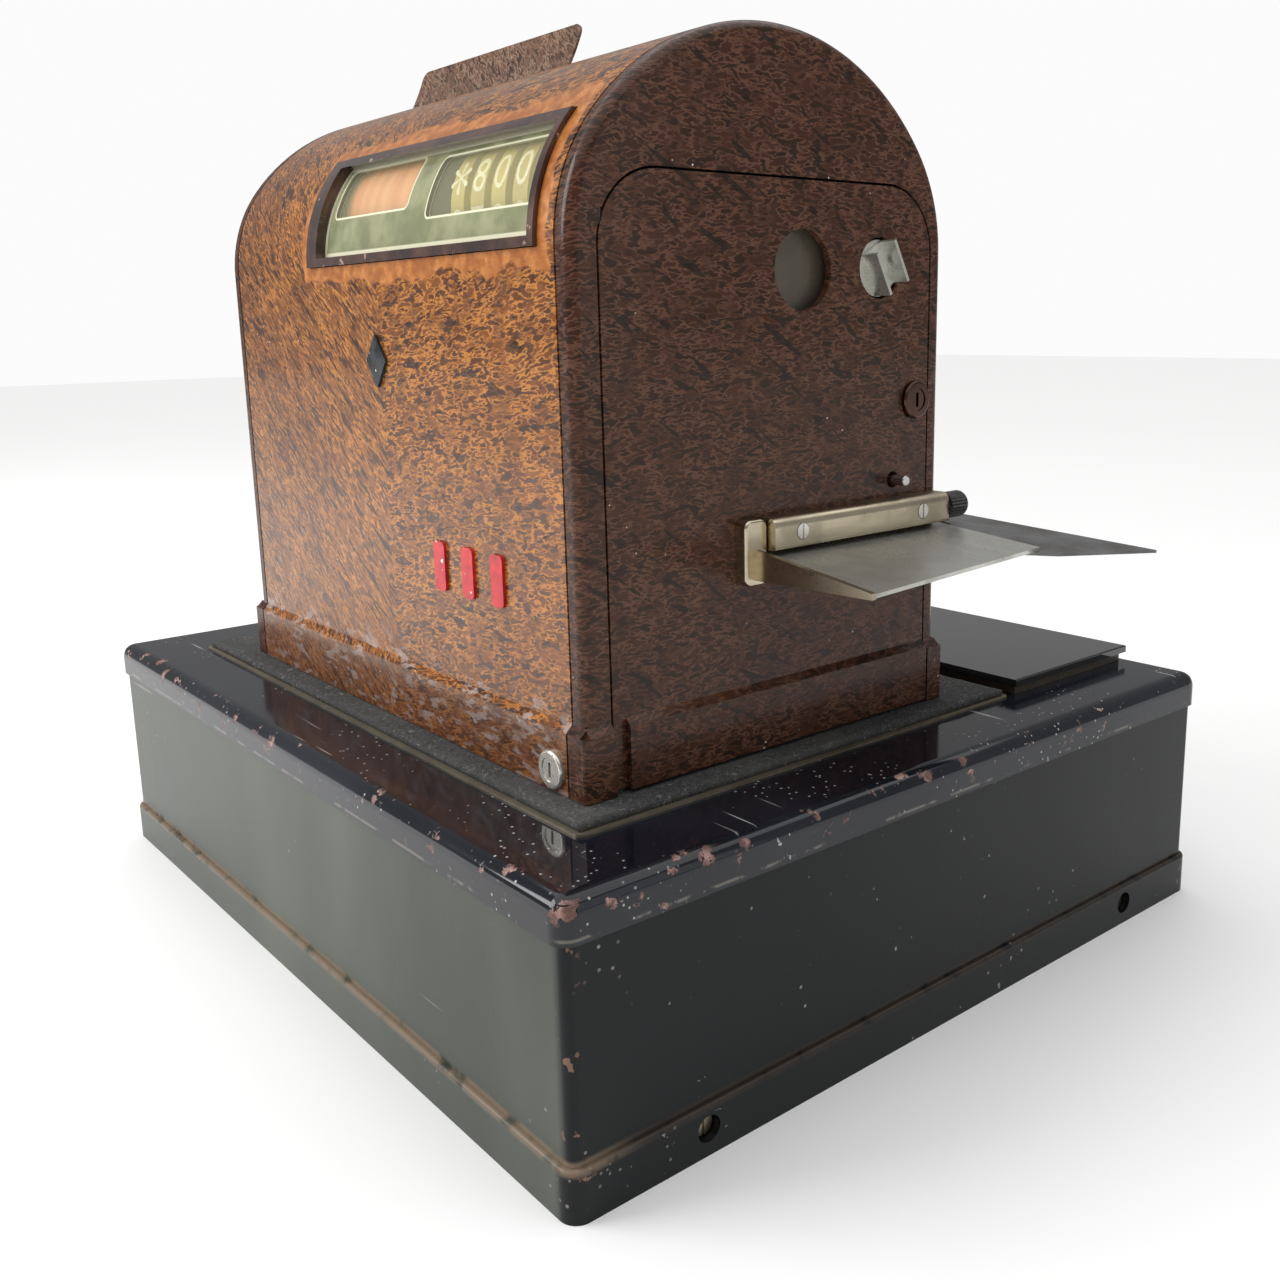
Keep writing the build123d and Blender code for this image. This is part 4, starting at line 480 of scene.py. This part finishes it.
def felt():
    """Rough dark grey felt with pale fibres."""
    paint = Paint("felt", (0.10, 0.10, 0.10), 0.95)
    fibre = paint.noise(520.0, 5.0, distortion=1.5, roughness=0.7)
    lint = paint.step(paint.noise(240.0, 4.0, distortion=2.0), 0.60, 0.68)
    blotch = paint.noise(18.0, 4.0)
    color = paint.mix(paint.step(fibre, 0.35, 0.65), (0.022, 0.022, 0.024), (0.085, 0.085, 0.082))
    color = paint.mix(paint.math("MULTIPLY", lint, 0.7), color, (0.26, 0.25, 0.24))
    color = paint.mix(paint.step(blotch, 0.45, 0.7, 0.0, 0.4), color, (0.10, 0.095, 0.09))
    return paint.use(color=color, normal=paint.bump(fibre, 0.9, 0.0012))


def badge_enamel():
    """A dark lozenge and red bars, told apart by where they stand."""
    paint = Paint("badge_enamel", (0.5, 0.02, 0.03), 0.2, coat=0.2, coat_roughness=0.05, shine=0.3)
    _, _, z = paint.xyz()
    tone = paint.noise(150.0, 4.0)
    red = paint.mix(paint.step(tone, 0.3, 0.7), (0.42, 0.006, 0.014), (0.66, 0.018, 0.028))
    dark = paint.mix(paint.step(tone, 0.3, 0.7), (0.012, 0.016, 0.018), (0.035, 0.042, 0.045))
    color = paint.mix(paint.step(z, BADGE_SPLIT, BADGE_SPLIT + 0.001), red, dark)
    chips = paint.step(paint.noise(210.0, 3.0), 0.68, 0.71)
    color = paint.mix(chips, color, (0.75, 0.73, 0.7))
    return paint.use(color=color, roughness=paint.step(tone, 0.3, 0.7, 0.1, 0.25),
                     normal=paint.bump(tone, 0.15, 0.0004))


def numeral_plate():
    paint = Paint("numeral_plate", (0.72, 0.66, 0.52), 0.3, coat=0.3, coat_roughness=0.1)
    tone = paint.noise(40.0, 5.0)
    color = paint.mix(paint.step(tone, 0.35, 0.7), (0.72, 0.66, 0.52), (0.56, 0.48, 0.34))
    marks = specks(paint, 260.0, 0.1)
    color = paint.mix(paint.math("MULTIPLY", marks, 0.8), color, (0.12, 0.09, 0.06))
    return paint.use(color=color, roughness=paint.step(tone, 0.3, 0.7, 0.24, 0.4),
                     normal=paint.bump(tone, 0.1, 0.0004))


def drum_yellow():
    paint = Paint("drum_yellow", (0.85, 0.74, 0.22), 0.4)
    tone = paint.noise(48.0, 5.0)
    color = paint.mix(paint.step(tone, 0.35, 0.68), (0.66, 0.52, 0.12), (0.55, 0.42, 0.12))
    marks = specks(paint, 300.0, 0.12)
    color = paint.mix(marks, color, (0.10, 0.08, 0.04))
    return paint.use(color=color, roughness=paint.step(tone, 0.3, 0.7, 0.32, 0.5),
                     normal=paint.bump(tone, 0.1, 0.0003))


def orange_flag():
    """Peach-orange shutter with upright streaks and a darker top."""
    paint = Paint("orange_flag", (0.85, 0.40, 0.20), 0.45)
    _, _, z = paint.xyz()
    streaks = paint.noise(85.0, 4.0, paint.stretched((1, 0.08, 0.08)))
    color = paint.mix(paint.step(streaks, 0.35, 0.65), (0.80, 0.26, 0.08), (0.95, 0.46, 0.20))
    top = paint.step(z, *FLAG_TOP)
    color = paint.mix(paint.math("MULTIPLY", top, 0.75), color, (0.16, 0.07, 0.04))
    return paint.use(color=color, roughness=paint.step(streaks, 0.3, 0.7, 0.38, 0.55),
                     normal=paint.bump(streaks, 0.15, 0.0004))


def paper():
    paint = Paint("paper", (0.84, 0.82, 0.75), 0.85)
    turns = paint.noise(900.0, 1.0, paint.stretched((0.02, 1, 1)))
    color = paint.mix(paint.step(turns, 0.4, 0.6), (0.84, 0.82, 0.75), (0.72, 0.69, 0.60))
    return paint.use(color=color, normal=paint.bump(turns, 0.2, 0.0003))


# Panes of the glass, as (low x, high x, low z, high z); the rest is painted from behind.
PANES = ((-0.060, 0.024, 0.4275, 0.4525), (-0.184, -0.082, 0.421, 0.450))
PANE_CORNER = 0.003
PANE_LINE = 0.0011       # width of the outlines
PANE_SOFT = 0.0002       # softness of their edges


def window_glass():
    """Glass painted grey-green from behind, with two clear panes in cream outlines."""
    paint = Paint("window_glass", (0.30, 0.34, 0.24), 0.08, coat=0.4, coat_roughness=0.03)
    x, _, z = paint.xyz()
    clear = 0.0
    line = 0.0
    for x0, x1, z0, z1 in PANES:
        away = rounded_distance(paint, (x, (x0 + x1) / 2, (x1 - x0) / 2),
                                (z, (z0 + z1) / 2, (z1 - z0) / 2))
        clear = paint.math("MAXIMUM", clear, paint.step(away, PANE_SOFT, -PANE_SOFT))
        ring = paint.step(paint.apart(away, PANE_LINE / 2),
                          PANE_LINE / 2 + PANE_SOFT, PANE_LINE / 2 - PANE_SOFT)
        line = paint.math("MAXIMUM", line, ring)
    border = paint.math("MINIMUM", paint.math("SUBTRACT", z, GLASS[LOW].z),
                        paint.math("MINIMUM", paint.math("SUBTRACT", GLASS[HIGH].z, z),
                                   paint.math("SUBTRACT", GLASS[HIGH].x, x)))
    line = paint.math("MAXIMUM", line, paint.step(border, 0.0030, 0.0022))
    tone = paint.noise(55.0, 5.0)
    mask = paint.mix(paint.step(tone, 0.35, 0.7), (0.22, 0.235, 0.125), (0.36, 0.37, 0.21))
    color = paint.mix(line, mask, (0.86, 0.83, 0.60))
    color = paint.mix(clear, color, (0.72, 0.70, 0.45))
    solid = paint.math("SUBTRACT", 1.0, clear)
    alpha = paint.math("ADD", paint.math("MULTIPLY", solid, 0.80), 0.18)
    alpha = paint.math("MAXIMUM", alpha, line, True)
    marks = specks(paint, 280.0, 0.02)
    color = paint.mix(marks, color, (0.12, 0.10, 0.07))
    return paint.use(color=color, alpha=alpha, roughness=paint.step(tone, 0.3, 0.7, 0.04, 0.12))


def rounded_distance(paint, across, up):
    """Distance to a rectangle with rounded corners; each side is (value, middle, half)."""
    outside = []
    for value, middle, half in (across, up):
        outside.append(paint.math("SUBTRACT", paint.apart(value, middle), half - PANE_CORNER))
    positive = [paint.math("MAXIMUM", value, 0.0) for value in outside]
    length = paint.math("SQRT", paint.math("ADD", paint.math("MULTIPLY", positive[0], positive[0]),
                                           paint.math("MULTIPLY", positive[1], positive[1])))
    inner = paint.math("MINIMUM", paint.math("MAXIMUM", outside[0], outside[1]), 0.0)
    return paint.math("SUBTRACT", paint.math("ADD", length, inner), PANE_CORNER)


def figure_paint(name, first, second):
    """Flat paint of the figures, worn through in specks."""
    paint = Paint(name, first, 0.4)
    tone = paint.noise(350.0, 4.0)
    color = paint.mix(paint.step(tone, 0.45, 0.72), first, second)
    return paint.use(color=color, roughness=paint.step(tone, 0.3, 0.7, 0.35, 0.5),
                     normal=paint.bump(tone, 0.2, 0.0002))


MAKERS = (black_enamel, black_enamel_top, brown_enamel, wood, dark_steel, bell_brass, gloss_black,
          olive_metal, tray_metal, felt, dark_frame, window_glass, numeral_plate, badge_enamel,
          nickel, bright_steel, bronze, old_brass, grey_steel, dark_plate, black_knob, orange_flag,
          paper, lever_steel, drum_yellow)
MATERIALS = {make.__name__: make() for make in MAKERS}
PAINTED_SHADE_END_ENAMEL = painted_shade_end_enamel()
LID_ENAMEL = lid_enamel()
# The end caps and the side door take the darker copy of the brown enamel, darkened as painted shade.
OWN_MATERIALS = {"left_end_cap": PAINTED_SHADE_END_ENAMEL, "right_end_cap": PAINTED_SHADE_END_ENAMEL, "side_door": PAINTED_SHADE_END_ENAMEL,
                 "top_lid": LID_ENAMEL}


def dress_cad_nodes():
    """Gives each CAD node the material of its slot."""
    for part in frame["record"]["subparts"]:
        node = frame["nodes"][part["node"]]
        material = OWN_MATERIALS.get(part["node"], MATERIALS[part["material_slot"]])
        node.data.materials.clear()
        node.data.materials.append(material)


# ---------------------------------------------------------------- pieces
def new_piece(name, mesh, material, body):
    piece = bpy.data.objects.new(name, mesh)
    bpy.context.scene.collection.objects.link(piece)
    mesh.materials.clear()
    mesh.materials.append(material)
    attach(piece, body)
    return piece


def glyph(character, height):
    """A closed figure, centred at the origin: x across, y up, z out."""
    curve = bpy.data.curves.new("glyph", "FONT")
    curve.body = character
    curve.extrude = FIGURE_DEPTH / 2
    curve.resolution_u = 3
    holder = bpy.data.objects.new("glyph", curve)
    bpy.context.scene.collection.objects.link(holder)
    bpy.context.view_layer.update()
    mesh = bpy.data.meshes.new_from_object(holder)
    bpy.data.objects.remove(holder)
    shape = bmesh.new()
    shape.from_mesh(mesh)
    bpy.data.meshes.remove(mesh)
    bmesh.ops.remove_doubles(shape, verts=shape.verts, dist=1e-6)
    lows = [min(v.co[axis] for v in shape.verts) for axis in range(2)]
    highs = [max(v.co[axis] for v in shape.verts) for axis in range(2)]
    middle = Vector(((lows[0] + highs[0]) / 2, (lows[1] + highs[1]) / 2, 0))
    scale = height / max(highs[1] - lows[1], highs[0] - lows[0])
    for vert in shape.verts:
        flat = (vert.co - middle) * scale
        vert.co = (flat.x, flat.y, FIGURE_DEPTH if vert.co.z > 0 else 0.0)
    for cut in range(1, GLYPH_CUTS):
        y = -height / 2 + height * cut / GLYPH_CUTS
        bmesh.ops.bisect_plane(shape, geom=shape.verts[:] + shape.edges[:] + shape.faces[:],
                               plane_co=(0, y, 0), plane_no=(0, 1, 0))
    return shape


def wrapped_figures(figures, height, place):
    """Figures bent round a cylinder. place(figure, x, y, out) gives each point its place."""
    whole = bmesh.new()
    for index, character in enumerate(figures):
        shape = glyph(character, height)
        copies = {vert: whole.verts.new(place(index, *vert.co)) for vert in shape.verts}
        for face in shape.faces:
            whole.faces.new([copies[vert] for vert in face.verts])
        shape.free()
    bmesh.ops.recalc_face_normals(whole, faces=whole.faces)
    mesh = bpy.data.meshes.new("figures")
    whole.to_mesh(mesh)
    whole.free()
    return mesh


def make_drum_figures(material):
    """Ten figures on each drum; the drum nearest the middle frame has a star for nought."""
    drum_r = (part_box("indicator_drum_1")[HIGH].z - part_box("indicator_drum_1")[LOW].z) / 2
    for number, name in enumerate(DRUMS):
        axis = joint_place(f"{name}_turn")
        figures = "0123456789" if number else "*123456789"
        turn = FIGURE_VIEW - SHOWN_FIGURES[number] * FIGURE_STEP

        def place(index, x, y, out):
            angle = turn + index * FIGURE_STEP + y / drum_r
            reach = drum_r - FIGURE_SINK + out
            return axis.x - x, axis.y + reach * cos(angle), axis.z + reach * sin(angle)

        mesh = wrapped_figures(figures, DRUM_FIGURE, place)
        new_piece(f"drum_figures_{number + 1}", mesh, material, name)


def make_plate_figures(material):
    """Figures 0 to 9 beside each lever's slot on the numeral plate."""
    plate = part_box("lever_plate")
    axis = joint_place("lever_1_set")
    plate_r = axis.y - plate[LOW].y
    for number, name in enumerate(LEVERS):
        column = joint_place(f"{name}_set").x + PLATE_COLUMN

        def place(index, x, y, out):
            angle = PLATE_START + index * LEVER_STEP - y / plate_r
            reach = plate_r - FIGURE_SINK + out
            return column + x, axis.y + reach * cos(angle), axis.z + reach * sin(angle)

        mesh = wrapped_figures("0123456789", PLATE_FIGURE, place)
        new_piece(f"plate_figures_{number + 1}", mesh, material, "root")


def make_felt_pad(material):
    """The felt pad: a soft-edged mat with an uneven nap, in the space of its CAD solid."""
    low, high = PAD
    columns, rows = 150, 102
    nap = 0.00035            # height of the nap's unevenness
    edge = 0.003             # width and drop of the soft edge
    edge_drop = 0.0011
    top_z = high.z - 0.0006  # the nap's mean level, under the pad's own top
    most_lift = 0.0005
    shape = bmesh.new()
    tops = []
    bottoms = []
    for row in range(rows + 1):
        top_row = []
        bottom_row = []
        for column in range(columns + 1):
            x = low.x + (high.x - low.x) * column / columns
            y = low.y + (high.y - low.y) * row / rows
            border = min(x - low.x, high.x - x, y - low.y, high.y - y)
            round_off = max(0.0, 1 - border / edge) ** 2 * edge_drop
            lift = (noise.noise(Vector((x, y, 0)) * 260) * nap
                    + noise.noise(Vector((x, y, 3)) * 40) * nap / 2)
            top_row.append(shape.verts.new((x, y, top_z - round_off + min(lift, most_lift))))
            bottom_row.append(shape.verts.new((x, y, low.z)))
        tops.append(top_row)
        bottoms.append(bottom_row)
    for row in range(rows):
        for column in range(columns):
            corners = ((row, column), (row, column + 1), (row + 1, column + 1), (row + 1, column))
            shape.faces.new([tops[r][c] for r, c in corners])
            shape.faces.new([bottoms[r][c] for r, c in reversed(corners)])
    rim = ([(0, c) for c in range(columns)] + [(r, columns) for r in range(rows)]
           + [(rows, c) for c in range(columns, 0, -1)] + [(r, 0) for r in range(rows, 0, -1)])
    for index, (row, column) in enumerate(rim):
        next_row, next_column = rim[(index + 1) % len(rim)]
        shape.faces.new((bottoms[row][column], bottoms[next_row][next_column],
                         tops[next_row][next_column], tops[row][column]))
    for face in shape.faces:
        face.smooth = True
    mesh = bpy.data.meshes.new("felt_pad")
    shape.to_mesh(mesh)
    shape.free()
    piece = new_piece("felt_pad", mesh, material, "root")
    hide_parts("base_pad")


# ---------------------------------------------------------------- floor, light and camera
def make_floor():
    half = 9.0               # half the floor's side
    mesh = bpy.data.meshes.new("floor")
    mesh.from_pydata([(-half, -half, 0), (half, -half, 0), (half, half, 0), (-half, half, 0)], [],
                     [(0, 1, 2, 3)])
    paint = Paint("floor", (0.93, 0.93, 0.925), 0.6)
    tone = paint.noise(3.0, 2.0)
    color = paint.mix(tone, (0.93, 0.93, 0.925), (0.95, 0.95, 0.945))
    mesh.materials.append(paint.use(color=color))
    floor = bpy.data.objects.new("floor", mesh)
    bpy.context.scene.collection.objects.link(floor)


def area_light(name, place, target, size, power, color=(1, 1, 1)):
    data = bpy.data.lights.new(name, "AREA")
    data.shape = "RECTANGLE"
    data.size = size[0]
    data.size_y = size[1]
    data.energy = power
    data.color = color
    light = bpy.data.objects.new(name, data)
    light.location = place
    light.rotation_euler = (Vector(target) - Vector(place)).to_track_quat("-Z", "Y").to_euler()
    bpy.context.scene.collection.objects.link(light)


def make_light():
    world = bpy.data.worlds.new("studio")
    bpy.context.scene.world = world
    world.use_nodes = True
    background = world.node_tree.nodes["Background"]
    background.inputs["Color"].default_value = (1.0, 1.0, 1.0, 1)
    path = world.node_tree.nodes.new("ShaderNodeLightPath")
    level = world.node_tree.nodes.new("ShaderNodeMapRange")
    level.inputs["To Min"].default_value = 0.33   # strength of the light it gives
    level.inputs["To Max"].default_value = 0.97   # brightness of the background itself
    world.node_tree.links.new(path.outputs["Is Camera Ray"], level.inputs["Value"])
    world.node_tree.links.new(level.outputs[0], background.inputs["Strength"])
    area_light("key", (1.3, 2.1, 1.5), (0, 0.1, 0.25), (1.6, 1.6), 50)
    area_light("side", (-2.2, -0.9, 0.9), (-0.1, 0, 0.25), (0.9, 1.4), 2.5, (0.86, 0.93, 1.0))
    data = bpy.data.lights.new("overhead", "SUN")
    data.energy = 2.1
    data.angle = radians(100)
    bpy.context.scene.collection.objects.link(bpy.data.objects.new("overhead", data))


def make_camera():
    data = bpy.data.cameras.new("camera")   # fitted to the straight edges of the object
    data.sensor_width = 36
    data.lens = 35.739
    data.shift_x = -0.0400
    data.shift_y = -0.0430
    camera = bpy.data.objects.new("camera", data)
    right = Vector((-0.64271, -0.76590, -0.01786))
    up = Vector((0.14590, -0.14525, 0.97858))
    back = right.cross(up)
    turn = Matrix((right, up, back)).transposed()
    camera.matrix_world = Matrix.Translation((-0.67081, 0.49578, 0.36915)) @ turn.to_4x4()
    bpy.context.scene.collection.objects.link(camera)
    bpy.context.scene.camera = camera


dress_cad_nodes()
make_drum_figures(figure_paint("drum_figures", (0.95, 0.93, 0.62), (0.90, 0.84, 0.50)))
make_plate_figures(figure_paint("plate_figures", (0.03, 0.025, 0.022), (0.10, 0.08, 0.06)))
make_felt_pad(MATERIALS["felt"])
make_floor()
make_light()
make_camera()
bpy.context.scene.view_settings.view_transform = "Standard"
